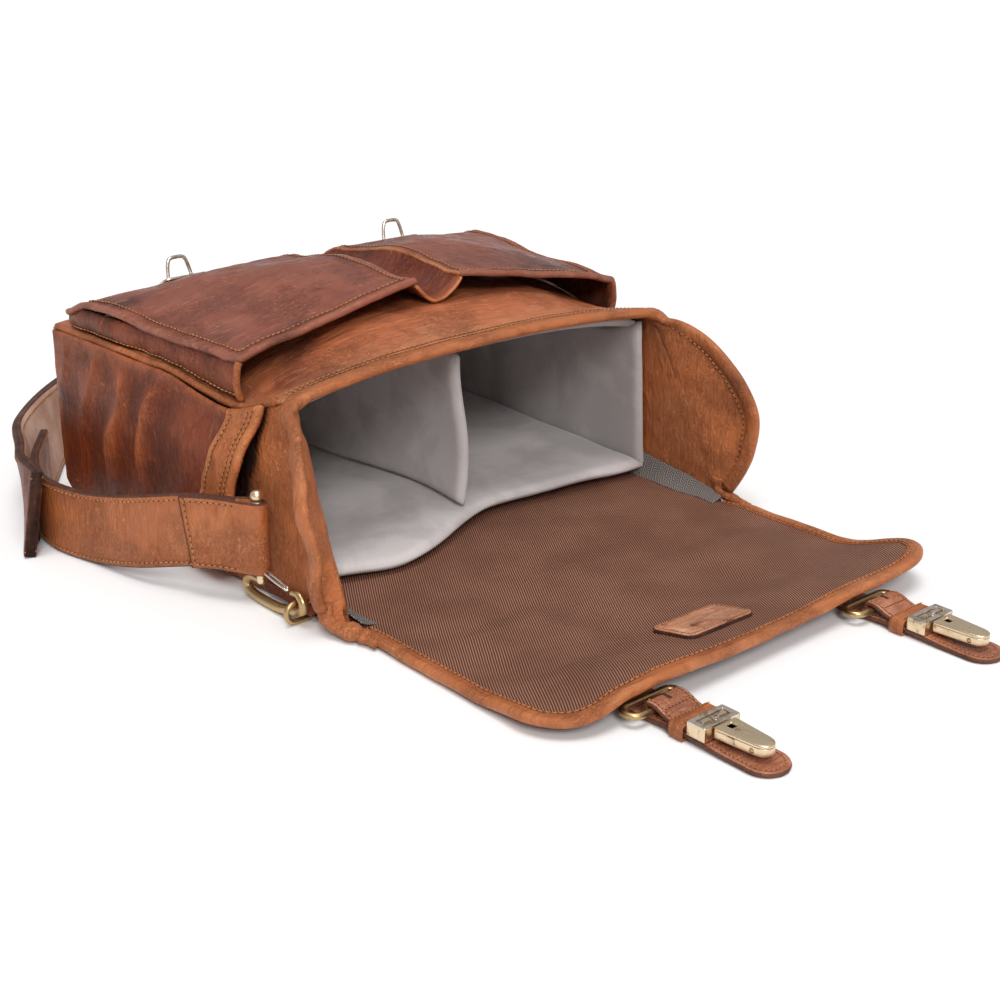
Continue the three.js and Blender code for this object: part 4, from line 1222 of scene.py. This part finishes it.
# The flap's two panels: name, CAD name, first and last Y, and the joint each bends at
FLAP_PARTS = (("rear", "top", 74.0, -70.0, HINGE), ("fore", "front", -70.0, FLAP_FRONT + 4.8, FOLD))
FLAP_INSET = 4.6  # the cloth and the leather end this far inside the binding's outer edge
LEATHER_END = -4.6  # where the flap's leather stops, at the mouth


def flap_wave(x, y):
    """Loose waves in the flap, in mm above its nominal surface."""
    spot = xyz(x, y, 0)
    calm = smooth(-6, -30, y)
    return calm * (1.1 * (1 + rough(spot, 70, 2, 4.2)) + 0.5 * rough(spot, 28, 2, 1.0))


def flap_plan(start, end):
    """X and Y of a grid over the flap from one Y to another."""
    u, v = plan(110, 100)
    y = lerp(start, end, v)
    beside_mouth = FLAP_HALF_HINGE - FLAP_INSET
    x = lerp(-1, 1, u) * np.where(y > HINGE_Y, beside_mouth, flap_half(np.minimum(y, HINGE_Y), FLAP_INSET))
    return x, y


def build_flap():
    """The lining runs on into the mouth under the insert; the leather stops at the hinge."""
    for part, node, start, end, bend in FLAP_PARTS:
        butt = "r" if part == "rear" else "l"
        x, y = flap_plan(start, end)
        base = np.where(y > -5, 0.4, flap_under(x, y)) + flap_wave(x, y)
        cloth = xyz(x, y, base + 3.6)
        piece = shell(f"flap_cloth_{part}", cloth, 0.9, [TWILL] * 3, uv=cloth[..., :2], flip=True, flat=butt)
        place(piece, bend, f"flap_lining_{node}")

        x, y = flap_plan(min(start, LEATHER_END), end)
        hide = xyz(x, y, flap_under(x, y) + flap_wave(x, y) + 2.2)
        piece = shell(f"flap_hide_{part}", hide, 2.2, [FLESH, LEATHER, LEATHER], flip=True, flat=butt)
        place(piece, bend, f"flap_leather_{node}")


def flap_edge(inset):
    """Points along the flap's edge, from the rear right corner round the front to the rear left corner."""
    shoulder = FLAP_FRONT + FLAP_CORNER
    side = [(float(flap_half(y, inset)), y) for y in np.linspace(-14, shoulder, 40)]
    flat = FLAP_HALF_FRONT - FLAP_CORNER
    radius = FLAP_CORNER - inset
    turn = np.linspace(0.05, 1.55, 24)
    arc = [(flat + radius * math.cos(a), shoulder - radius * math.sin(a)) for a in turn]
    half = np.array(side + arc)
    front = np.stack([np.linspace(flat, -flat, 90)[1:-1], np.full(88, FLAP_FRONT + inset)], axis=1)
    return np.vstack([half, front, half[::-1] * (-1, 1)])


def on_flap(points, rise):
    x, y = points[:, 0], points[:, 1]
    return xyz(x, y, flap_under(x, y) + flap_wave(x, y) + rise)


# Where each ear's binding runs down and turns along the flap, as (x, y, z), and how much it is crumpled
NECKS = {
    "left": [(146, 5, 15), (146.5, 1.5, 9), (143.5, -6, 6), (139.5, -15, 4.8), (137.8, -28, 3.6)],
    "right": [(136.5, -4, 16), (136.4, -3.5, 9), (136.4, -9, 6.2), (136.6, -17, 5.0), (137.2, -28, 4.4)],
}
NECK_GATHER = {"left": 0.34, "right": 0.14}


def build_flap_binding():
    path = resample(on_flap(flap_edge(0.4), 2.1), 2.0)
    path += rough(path, 24, 2, 3.0)[:, None] * (0.3, 0.3, 0.45)
    section = oval(2.7, 2.5, 18, 2.3)
    worn = 0.5 + 0.35 * rough(path, 20, 3, 1.0)
    nodes = [f"flap_binding_{edge}" for edge in ("left", "right", "front")]
    place(sweep("flap_binding_roll", path, UP, section, TRIM, worn), FOLD, *nodes)
    # The flat inner part of the binding, sewn down on the cloth
    strip = np.stack([on_flap(flap_edge(inset), 4.2) for inset in (2.2, 3.0, 4.2, 5.4, 6.2)], axis=0)
    place(shell("flap_binding_flange", strip, 0.9, [TRIM] * 3, 0.2 * np.ones(strip.shape[:2])), FOLD)
    stitches("flap", FOLD).row(on_flap(flap_edge(4.7), 4.35), UP)

    for side, s in SIDES:
        # Gathered leather where the ear's binding turns into the flap's
        path = spline(np.array(NECKS[side]) * (s, 1, 1), 1.0)
        gathers = 1 + NECK_GATHER[side] * rough(path, 4.5, 3, 2.0)
        gathers *= lerp(1, 0.62, smooth(0.55, 1, np.linspace(0, 1, len(path))))
        path += rough(path, 11, 2, 5.0)[:, None] * (0.8, 0.3, 0.5)
        across = np.array([s * 0.5, 0.0, 0.86])
        piece = sweep(f"neck_{side}", path, across, oval(4.5, 3.2, 22, 2.2), TRIM, 0.5 * gathers, gathers)
        place(piece, HINGE)


LABEL_AT = np.array([-11.5, -126.0])
LABEL_HALF = (23.5, 14.2)


def build_label():
    """A sewn leather patch, left blank, that lies in the cloth's own slope."""
    around = LABEL_AT + [(0, 0), (0, 8), (0, -8), (14, 0), (-14, 0)]
    centre, front, rear, right, left = on_flap(around, 3.8)
    ahead, across = front - rear, right - left
    axes = np.stack([unit(across), unit(ahead), unit(np.cross(across, ahead))])
    outline = rounded_outline(*LABEL_HALF, 5)
    under = plate_mesh("label_edge", outline, -0.3, 1.6, 0.3, EDGE, centre, axes)
    place(under, FOLD)
    face = plate_mesh("label_face", shrink(outline, 0.4), 1.2, 2.1, 0.4, PATCH, centre, axes)
    place(face, FOLD, "flap_label")
    line = shrink(outline, 1.9)
    x, y = np.vstack([line, line[:1]]).T
    path = xyz(x, y, 2.15) @ axes + centre
    stitches("label", FOLD).row(path, axes[2], pitch=2.3, length=1.6, width=0.7)


# ---- Closures ----

def ribbon(path, half, tip=None):
    """A grid for a strap along a path of (y, z) points; tip is the Y of its rounded far end."""
    across = np.linspace(-1, 1, 13)[:, None]
    width = np.full(len(path), half)
    if tip is not None:
        past = np.clip((tip + half - path[:, 0]) / half, 0, 1)
        width = np.maximum(2.2, half * np.sqrt(1 - past**2))
    return xyz(across * width, path[:, 0], path[:, 1])


RING_SLIP = 3.5  # the buckle has slid this far to one side of its tab


def build_closure(side, s):
    centre = np.array([s * STRAP_X, 0, 0])
    build_closure_strap(side, centre)
    build_tab(side, centre)
    build_keeper(side, centre)
    build_buckle(side, centre)
    build_clasp(side, centre)


def build_closure_strap(side, centre):
    """The strap sewn under the flap runs on under the buckle to its round tip."""
    bend = ("flap_front", f"closure_{side}", centre + (0, -157.5, 0), centre + (0, -168, 0))
    tip = -235.0
    y = np.concatenate([np.linspace(-62, -224, 110), np.linspace(-224.4, tip + 0.1, 24)])
    stations = [(tip, 0.3), (-214, 0.7), (-192, 2.0), (-176, 2.0), (-157, 0.45), (-150, 0.3), (-60, 0.3)]
    path = np.stack([y, through(stations, y) + 2.2], axis=1)
    grid = ribbon(path, 11.0, tip) + centre
    grid[..., 2] += 0.12 * rough(grid, 12, 2)
    worn = 0.25 + 0.4 * edge_field(*grid.shape[:2], 2, "udr")
    piece = shell(f"strap_{side}", grid, 2.2, [TAB, LEATHER, EDGE], worn, flip=True)
    place(piece, bend, f"flap_strap_{side}", f"closure_strap_{side}")
    half = np.maximum(0.5, ribbon(path, 8.6, tip + 2.4)[-1, :, 0])
    shown = (path[:, 0] < -160) & (path[:, 0] > tip + 2.6)
    one = xyz(half, path[:, 0], path[:, 1] + 0.1)[shown]
    line = np.vstack([one, one[::-1] * (-1, 1, 1)]) + centre
    stitches(f"strap_{side}", bend).row(line, UP, pitch=2.4, length=1.7, width=0.6)


def build_tab(side, centre):
    """The tab is folded over the buckle's front bar and runs under the keeper into the clasp's frame."""
    closure = f"closure_{side}"
    fold = [(0, -163.2, 5.2), (0, -162.2, 6.4), (0, -162.5, 9.0), (0, -164.5, 10.5), (0, -169.5, 10.3)]
    fold += [(0, -175.4, 8.0), (0, -180.5, 7.0), (0, -186.8, 7.0), (0, -190.5, 8.7), (0, -196.4, 8.8)]
    grid = ribbon(spline(fold, 0.7)[:, 1:], 10.7) + centre
    grid += 0.15 * rough(grid, 7, 2, 3.0)[..., None]
    worn = 0.3 + 0.5 * edge_field(*grid.shape[:2], 2, "ud")
    piece = shell(f"tab_{side}", grid, 2.0, [TAB, LEATHER, EDGE], worn, flip=True)
    place(piece, closure, f"clasp_tab_{side}")
    sewn = stitches(closure, closure)
    normal = normals_of(grid)[6]
    normal = normal * np.where(normal[:, 2:] < 0, -1, 1)
    for row in (1, -2):
        sewn.row(grid[row, 9:34] + 0.2 * normal[9:34], normal[9:34], 2.3, 1.6, 0.6)
    sewn.row(grid[1:-1, 22] + 0.2 * normal[22], normal[22], 2.3, 1.6, 0.6)
    # The tab's slot, drawn as a thin dark strip on its face: the slot's dark cut edges, with painted shade
    # for its opening.
    slit = grid[6, 10:17] + 0.12 * normal[10:17]
    place(sweep(f"slit_{side}", slit, UP, oval(1.0, 0.25, 10), EDGE), closure)


def build_keeper(side, centre):
    """A leather band round the strap and the tab."""
    closure = f"closure_{side}"
    x, z = rounded_outline(12.6, 3.6, 2.0).T
    path = xyz(x, -183.5, z + 4.3) + centre
    section = oval(0.85, 4.1, 14, 5)
    piece = sweep(f"keeper_{side}", path, (0, 1, 0), section, TRIM, 0.35 + 0 * x, closed=True)
    place(piece, closure, f"strap_keeper_{side}")
    for y in (-186.2, -180.8):
        top = xyz(np.linspace(-11, 11, 12), y, 8.85) + centre
        stitches(closure, closure).row(top, UP, 2.2, 1.5, 0.55)


def build_buckle(side, centre):
    x, y = rounded_outline(17.2, 5.2, 4.6).T
    path = xyz(x - RING_SLIP, y - 161.0, 6.2) + centre
    piece = sweep(f"buckle_{side}", path, UP, oval(1.75, 1.75, 14), DARK_BRASS, closed=True)
    place(piece, f"closure_{side}", f"buckle_ring_{side}")


CLASP_Y = -194.2


def build_clasp(side, centre):
    """A flat tube holds the tab's end. Its face has a recess with two lugs, and a lever covers its tongue."""
    half_x, half_y = 11.5, 5.3
    lever_body = f"lever_{side}"

    def plate(part, size, low, high, bevel, metal, shift=(0, 0), holes=(), body=f"closure_{side}", number=""):
        """size is a rounded outline's (half x, half y, radius), or an outline."""
        outline = rounded_outline(*size) if isinstance(size, tuple) else size
        cut = [(rounded_outline(*hole) if isinstance(hole, tuple) else hole) + shift for hole in holes]
        origin = centre + (0, CLASP_Y, 0)
        name = f"{part}_{side}{number}"
        return place(plate_mesh(name, outline + shift, low, high, bevel, metal, origin, holes=cut), body)

    face = plate("clasp_face", (half_x, half_y, 0.9), 10.5, 11.5, 0.3, NICKEL, holes=[(8.6, 2.7, 0.5)])
    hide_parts(f"clasp_frame_{side}")
    plate("clasp_recess", (10.6, 4.6, 0.5), 9.9, 10.6, 0.2, DARK_BRASS)
    for k, x in enumerate((-4.9, 4.9)):
        plate("clasp_lug", (2.9, 1.35, 0.35), 10.4, 11.35, 0.25, NICKEL, (x, 0.5), number=f"_{k}")
    plate("clasp_stem", (0.75, 2.2, 0.3), 10.4, 11.15, 0.2, NICKEL, (0, -0.6))
    plate("clasp_eye", (1.7, 1.7, 1.65), 10.4, 11.4, 0.3, NICKEL, (0, -1.5), [(0.75, 0.75, 0.74)])
    plate("clasp_base", (half_x, half_y, 0.9), 4.4, 5.3, 0.3, BRASS)
    for k, x in enumerate((0.45 - half_x, half_x - 0.45)):
        plate("clasp_wall", (0.45, half_y, 0.2), 4.6, 11.2, 0.15, BRASS, (x, 0), number=f"_{k}")
    plate("clasp_end", (11.2, 0.45, 0.2), 4.6, 11.2, 0.15, BRASS, (0, 0.45 - half_y))
    plate("clasp_tongue", (2.4, 12.2, 0.5), 4.4, 5.4, 0.25, BRASS, (0, -17.0))
    plate("clasp_post", (1.3, 2.6, 0.4), 5.2, 8.0, 0.3, BRASS, (0, -26.0))

    # Lever: a tapered lid with a round tip and a square well for its catch
    half_head, half_tip, head, tail, well_y = 7.0, 5.0, -6.2, -28.4, -10.4
    sides = [(half_head - 0.6, head), (half_head, head - 0.8), (half_tip + 0.2, tail)]
    turn = np.linspace(-0.15, 0.15 - math.pi, 18)
    tip = [(half_tip * math.cos(a), tail + half_tip * math.sin(a)) for a in turn]
    lid = np.array(sides + tip + [(-x, y) for x, y in sides[::-1]])[::-1]
    well = rounded_outline(1.85, 1.85, 0.25) + (0, well_y)
    channel = shrink(lid, 1.7) * (1, 0.985) + (0, 0.2)
    top = plate("lever_top", lid, 9.6, 11.6, 0.75, BRASS, holes=[well], body=lever_body)
    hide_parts(f"clasp_lever_{side}")
    plate("lever_walls", lid, 6.1, 9.9, 0.3, BRASS, holes=[channel], body=lever_body)
    # The well's floor is a plate of dark edge leather, painted shade for the depth of the well.
    plate("lever_well_shade", (2.2, 2.2, 0.25), 9.3, 9.75, 0.1, EDGE, (0, well_y), body=lever_body)
    pin = centre + (0, -220.5, 7.9)
    for k, out in enumerate((-1, 1)):
        axes = np.array([(0, 1, 0), (0, 0, out), (out, 0, 0)], float)
        dome(f"lever_boss_{side}_{k}", pin + (out * 4.9, 0, 0), axes, 1.6, 0.9, DARK_BRASS, lever_body)


# ---- Shoulder strap ----

BAR_X, BAR_Y = 150.0, 54.0  # the hook's upright bar
STRAP_HALF_HEIGHT = 20.0
STRAP_SEAMS = (STRAP_HALF_HEIGHT - 2.6, -STRAP_HALF_HEIGHT + 2.6)
# Routes seen from above, as (x, y); the left strap's is mirrored
LEFT_PATH = [(152.6, 59), (168, 88), (181, 118), (189, 158), (195, 190), (192, 214), (180, 242), (157, 276)]
PAD_PATH = [(-209, 188), (-201, 209), (-184, 242), (-161, 282), (-112, 338), (-55, 372), (5, 386)]
RIGHT_PATH = [(152.6, 59), (170, 130), (178, 220), (168, 300), (132, 358), (72, 386), (10, 387.5)]
RAISED, LYING = 17.5, 0.5  # height of the strap's lower edge at the hooks and on the floor
CHAPE = 37.0  # length of the end that is folded back and sewn down


def strap_section(half_thick, half_height):
    """A strap of two layers seen end on, with a shallow groove where they meet."""
    r = min(0.8, half_thick * 0.5)
    face = [(half_thick, -half_height + r + k * (half_height - r) / 3) for k in range(0, 6)]
    face.append((half_thick, half_height - r))
    rim = [(half_thick - 0.3 * r, half_height - 0.3 * r), (half_thick - r, half_height), (0.25, half_height)]
    other_rim = [(-x, z) for x, z in rim[::-1]]
    top = rim + [(0, half_height - 0.5)] + other_rim
    return np.array(face + top + [(-x, z) for x, z in face[::-1]] + [(x, -z) for x, z in top[::-1]])


def band(name, path, half_thick, half_height, face, edge, worn=0.3, other=None, up=UP):
    """A strap on edge along a level path; face covers its two broad sides and edge its rims."""
    section = strap_section(half_thick, half_height)
    piece = sweep(name, path, up, section, face)
    mesh = piece.data
    mesh.materials.append(edge)
    mesh.materials.append(other or face)
    columns = len(section)
    midpoint = 0.5 * (section + np.roll(section, -1, axis=0))
    rim = np.abs(midpoint[:, 1]) > half_height - 0.75
    back = midpoint[:, 0] < 0
    kinds = np.where(rim, 1, np.where(back, 2, 0))
    slots = np.tile(kinds, len(path) - 1)
    slots = np.concatenate([slots, [1, 1]])
    mesh.polygons.foreach_set("material_index", slots.astype(np.int32))
    field = mesh.attributes.new("worn", "FLOAT", "POINT")
    field.data.foreach_set("value", np.full(len(path) * columns, worn, np.float32))
    return piece


def level(points, s, leaves, lands):
    """A strap's route through (x, y) points, mirrored by s; it sinks to the floor between two shares."""
    path = spline([(s * x, y, 0) for x, y in points], 2.5)
    share = np.linspace(0, 1, len(path))
    path[:, 2] = lerp(RAISED, LYING, smooth(leaves, lands, share)) + STRAP_HALF_HEIGHT
    return path


def offset_path(path, amount):
    return path + frames_along(path, UP)[1] * amount


def build_strap_end(side, s, main):
    """The strap's end is folded round the hook's bar and sewn down on the strap's outer face."""
    lengths = lengths_along(main)
    near = main[lengths < CHAPE]
    away = lengths[lengths < CHAPE]
    gap = lerp(4.0, 3.4, smooth(0, 12, away))
    tangent, _, upright = frames_along(near, UP)
    normal = unit(np.cross(tangent, UP)) * s
    outer = near + normal * gap[:, None]
    inner = near - normal * lerp(4.0, 0.9, smooth(0, 13, away))[:, None]
    start = np.array([s * BAR_X, BAR_Y, near[0, 2]])
    first = unit(near[0] - near[1])
    angle = np.linspace(0.5 * np.pi, -0.5 * np.pi, 14)[1:-1]
    turn = [start + 4.0 * (normal[0] * math.sin(a) + first * math.cos(a)) for a in angle]
    fold = resample(np.vstack([outer[::-1], np.array(turn), inner[away < 15]]), 1.5)
    piece = band(f"strap_fold_{side}", fold, 1.15, STRAP_HALF_HEIGHT - 0.3, TRIM, EDGE, 0.35)
    place(piece, "root")

    sewn = stitches()
    face = outer + normal * 1.3
    for z in STRAP_SEAMS:
        sewn.row(face[2:-1] + (0, 0, z), normal[2:-1])
    both = np.array([[-1.0], [1.0]])
    sewn.row(resample(face[-2] + 17 * both * upright[-2], 3.3), normal[-2])
    # A thin dark bead along the chape's cut end: the leather's dark edge, with painted shade for the groove
    # at the end of the fold.
    cut = resample(outer[-1] + (STRAP_HALF_HEIGHT - 0.6) * both * upright[-1], 3)
    place(sweep(f"chape_edge_{side}", cut, normal[-1], oval(0.7, 1.3, 10), EDGE), "root")


def build_shoulder_strap():
    build_strap_side("left", -1, level(LEFT_PATH, -1, 0.06, 0.52))
    build_strap_side("right", 1, level(RIGHT_PATH, 1, 0, 0.25))
    build_shoulder_pad()


def build_shoulder_pad():
    """The wide padded part of the strap stands on its edge behind the bag and leans a little."""
    path = spline([(x, y, 25.2) for x, y in PAD_PATH], 3.0)
    path[:, :2] += 0.8 * rough(path, 40, 2)[:, None]
    share = np.linspace(0, 1, len(path))[:, None]
    away = offset_path(path, 1) - path
    away *= np.where((away * (-1, 1, 0)).sum(axis=1, keepdims=True) > 0, 1, -1)
    lean = UP + away * through([(0, -0.18), (0.13, 0.12), (0.32, 0.3), (0.65, 0)], share)
    piece = band("shoulder_padding", path, 2.7, 24.8, LEATHER, EDGE, 0.2, FLESH, lean)
    place(piece, "root", "shoulder_pad")
    cap = band("shoulder_pad_cap", path[:9] + (0, 0, 0.1), 3.3, 24.9, LEATHER, EDGE, 0.1, up=lean[:9])
    place(cap, "root")
    for turn in (-1, 1):
        for z in (-21.5, 21.5):
            line = offset_path(path, turn * 2.85) + unit(lean) * z
            stitches().row(line, unit(offset_path(path, turn) - path))


def build_strap_side(side, s, main):
    """One half of the strap, two layers sewn together, from the hook's bar to the shoulder pad."""
    lengths = lengths_along(main)
    body = main[lengths > 7]
    body[:, 0] += 0.5 * rough(body, 50, 2, s)
    piece = band(f"strap_main_{side}", body, 2.2, STRAP_HALF_HEIGHT, TRIM, EDGE, 0.25)
    place(piece, "root", f"shoulder_strap_{side}")
    sewn = stitches()
    normal = unit(np.cross(frames_along(body, UP)[0], UP))
    for turn in (-1, 1):
        for z in STRAP_SEAMS:
            sewn.row(body + normal * turn * 2.3 + (0, 0, z), normal * turn)
    build_strap_end(side, s, main)


def lathe(name, profile, origin, material):
    """A turned part: (radius, height) points round an upright axis."""
    sides = 24
    angle = np.linspace(0, 2 * np.pi, sides, endpoint=False)
    verts = [(r * math.cos(a), r * math.sin(a), h) for r, h in profile for a in angle]
    faces = tube_faces(len(profile), sides) + end_faces(len(profile), sides)
    return make(name, np.array(verts) + origin, faces, material)


def build_hardware(side, s):
    build_ring(side, s)
    build_hook(side, s)
    build_gate(side, s)


def build_ring(side, s):
    """The D-ring and the leather tab that holds it on the gusset."""
    flip = np.array([s, 1, 1])
    low, high, bar, flat, ring_y = 0.4, 13.4, 140.6, 151.5, 22.5
    wire = 1.5
    middle, radius = 0.5 * (low + high), 0.5 * (high - low) - wire
    arc = [(flat + radius * math.cos(a), middle + radius * math.sin(a)) for a in np.linspace(-1.5, 1.5, 20)]
    corner = [(bar + wire + x, low + wire + z) for x, z in ((0, 1), (0.4, 0.2), (1.4, 0))]
    line = corner + [(x, low + wire) for x in (145, 148)] + arc
    line += [(x, high - wire) for x in (148, 145)] + [(x, 2 * middle - z) for x, z in corner[::-1]]
    path = np.array([(x, ring_y, z) for x, z in line]) * flip
    piece = sweep(f"ring_{side}", path, (0, 1, 0), oval(wire, wire, 14), DARK_BRASS, closed=True)
    place(piece, f"ring_{side}", f"d_ring_{side}")
    fold = [(141.0, 61, 6.9), (141.0, 40, 6.9), (140.6, 29, 6.9), (139.3, 24, 6.9), (140.2, 20.3, 6.9)]
    fold += [(142.6, 19.3, 6.9), (145.0, 21.4, 6.9), (144.6, 26, 6.9), (143.2, 33, 6.9), (143.0, 58, 6.9)]
    path = spline(np.array(fold) * flip, 1.0)
    place(band(f"ring_loop_{side}", path, 0.75, 3.0, LEATHER, EDGE), "root", f"ring_tab_{side}")


def build_hook(side, s):
    """The snap hook: a turned bar through the strap's fold, and a wire bent round to the gate."""
    origin = np.array([s * BAR_X, BAR_Y, 0])
    bar_profile = [(1.6, 12), (2.4, 12.6), (2.5, 14), (2.5, 57.2), (2.0, 57.8)]
    bar_profile += [(3.2, 58.6), (3.6, 60.2), (3.2, 62), (1.8, 63.3), (0.4, 63.6)]  # the knob on top
    body = f"hook_{side}"
    place(lathe(f"hook_bar_{side}", bar_profile, origin, BRASS), body, f"snap_hook_{side}")
    bend = [(54, 14), (62, 13.5), (67.5, 10), (67, 5.6), (60, 3.4), (46, 3.1), (36, 4)]
    bend += [(27, 6.2), (22, 7), (17.2, 9.6), (17, 13.8), (21, 16.9), (26.5, 16.2)]
    path = spline([(s * BAR_X, y, z) for y, z in bend], 1.2)
    share = np.linspace(0, 1, len(path))
    girth = 1 + 0.12 * np.sin(np.pi * share) - 0.3 * smooth(0.86, 1, share)
    place(sweep(f"hook_wire_{side}", path, (1, 0, 0), oval(2.35, 2.35, 16), DARK_BRASS, scale=girth), body)


def build_gate(side, s):
    """The hook's sprung gate of two wires, joined at their tip; the first wire stands for the CAD gate."""
    x = s * BAR_X
    for k, (shift, nodes) in enumerate(((-1.15, [f"hook_gate_{side}"]), (1.15, []))):
        gate = [(x + shift, 49.6, 19.8), (x + shift * 1.2, 40, 18.1), (x + shift * 0.8, 30.8, 16.7)]
        piece = sweep(f"gate_wire_{side}_{k}", spline(gate, 1), UP, oval(0.75, 0.75, 10), NICKEL)
        place(piece, f"gate_{side}", *nodes)
    tip = [(x - 1.2, 30.8, 16.7), (x, 29.6, 16.5), (x + 1.2, 30.8, 16.7)]
    place(sweep(f"gate_tip_{side}", spline(tip, 0.5), UP, oval(0.8, 0.8, 10), NICKEL), f"gate_{side}")


# ---- Scene ----

def build_floor():
    """A plain pale floor, 80 m wide so that its edge is out of sight."""
    mesh = bpy.data.meshes.new("floor")
    reach, steps = 40.0, 40
    axis = np.linspace(-reach, reach, steps + 1)
    verts = [(x, y, 0.0) for x in axis for y in axis]
    mesh.from_pydata(verts, [], [list(map(int, f)) for f in quads(steps + 1, steps + 1)])
    floor = bpy.data.objects.new("floor", mesh)
    s = Shader("floor_white", Base_Color=(0.93, 0.93, 0.93, 1), Roughness=0.85, Specular_IOR_Level=0.1)
    mesh.materials.append(s.material)
    bpy.context.scene.collection.objects.link(floor)


add_camera()
add_studio()
build_floor()
build_back_panel()
build_front_panel()
build_bottom_panel()
for side, s in SIDES:
    build_piping(side, s)
for side, s in SIDES:
    build_side(side, s)
    build_slip_pocket(side, s)
    build_pocket(side, s)
    build_catch(side, s)
    build_closure(side, s)
    build_hardware(side, s)
build_mouth_binding()
build_valley()
build_back_pad()
build_other_pads()
build_divider()
build_tapes()
build_flap()
build_flap_binding()
build_label()
build_shoulder_strap()
for group, (sewing, body) in threads.items():
    place(sewing.build(f"stitches_{group}", [THREAD, EDGE]), body)
for node in ("lever_pin_left", "lever_pin_right"):
    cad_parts[node].data.materials[0] = BRASS
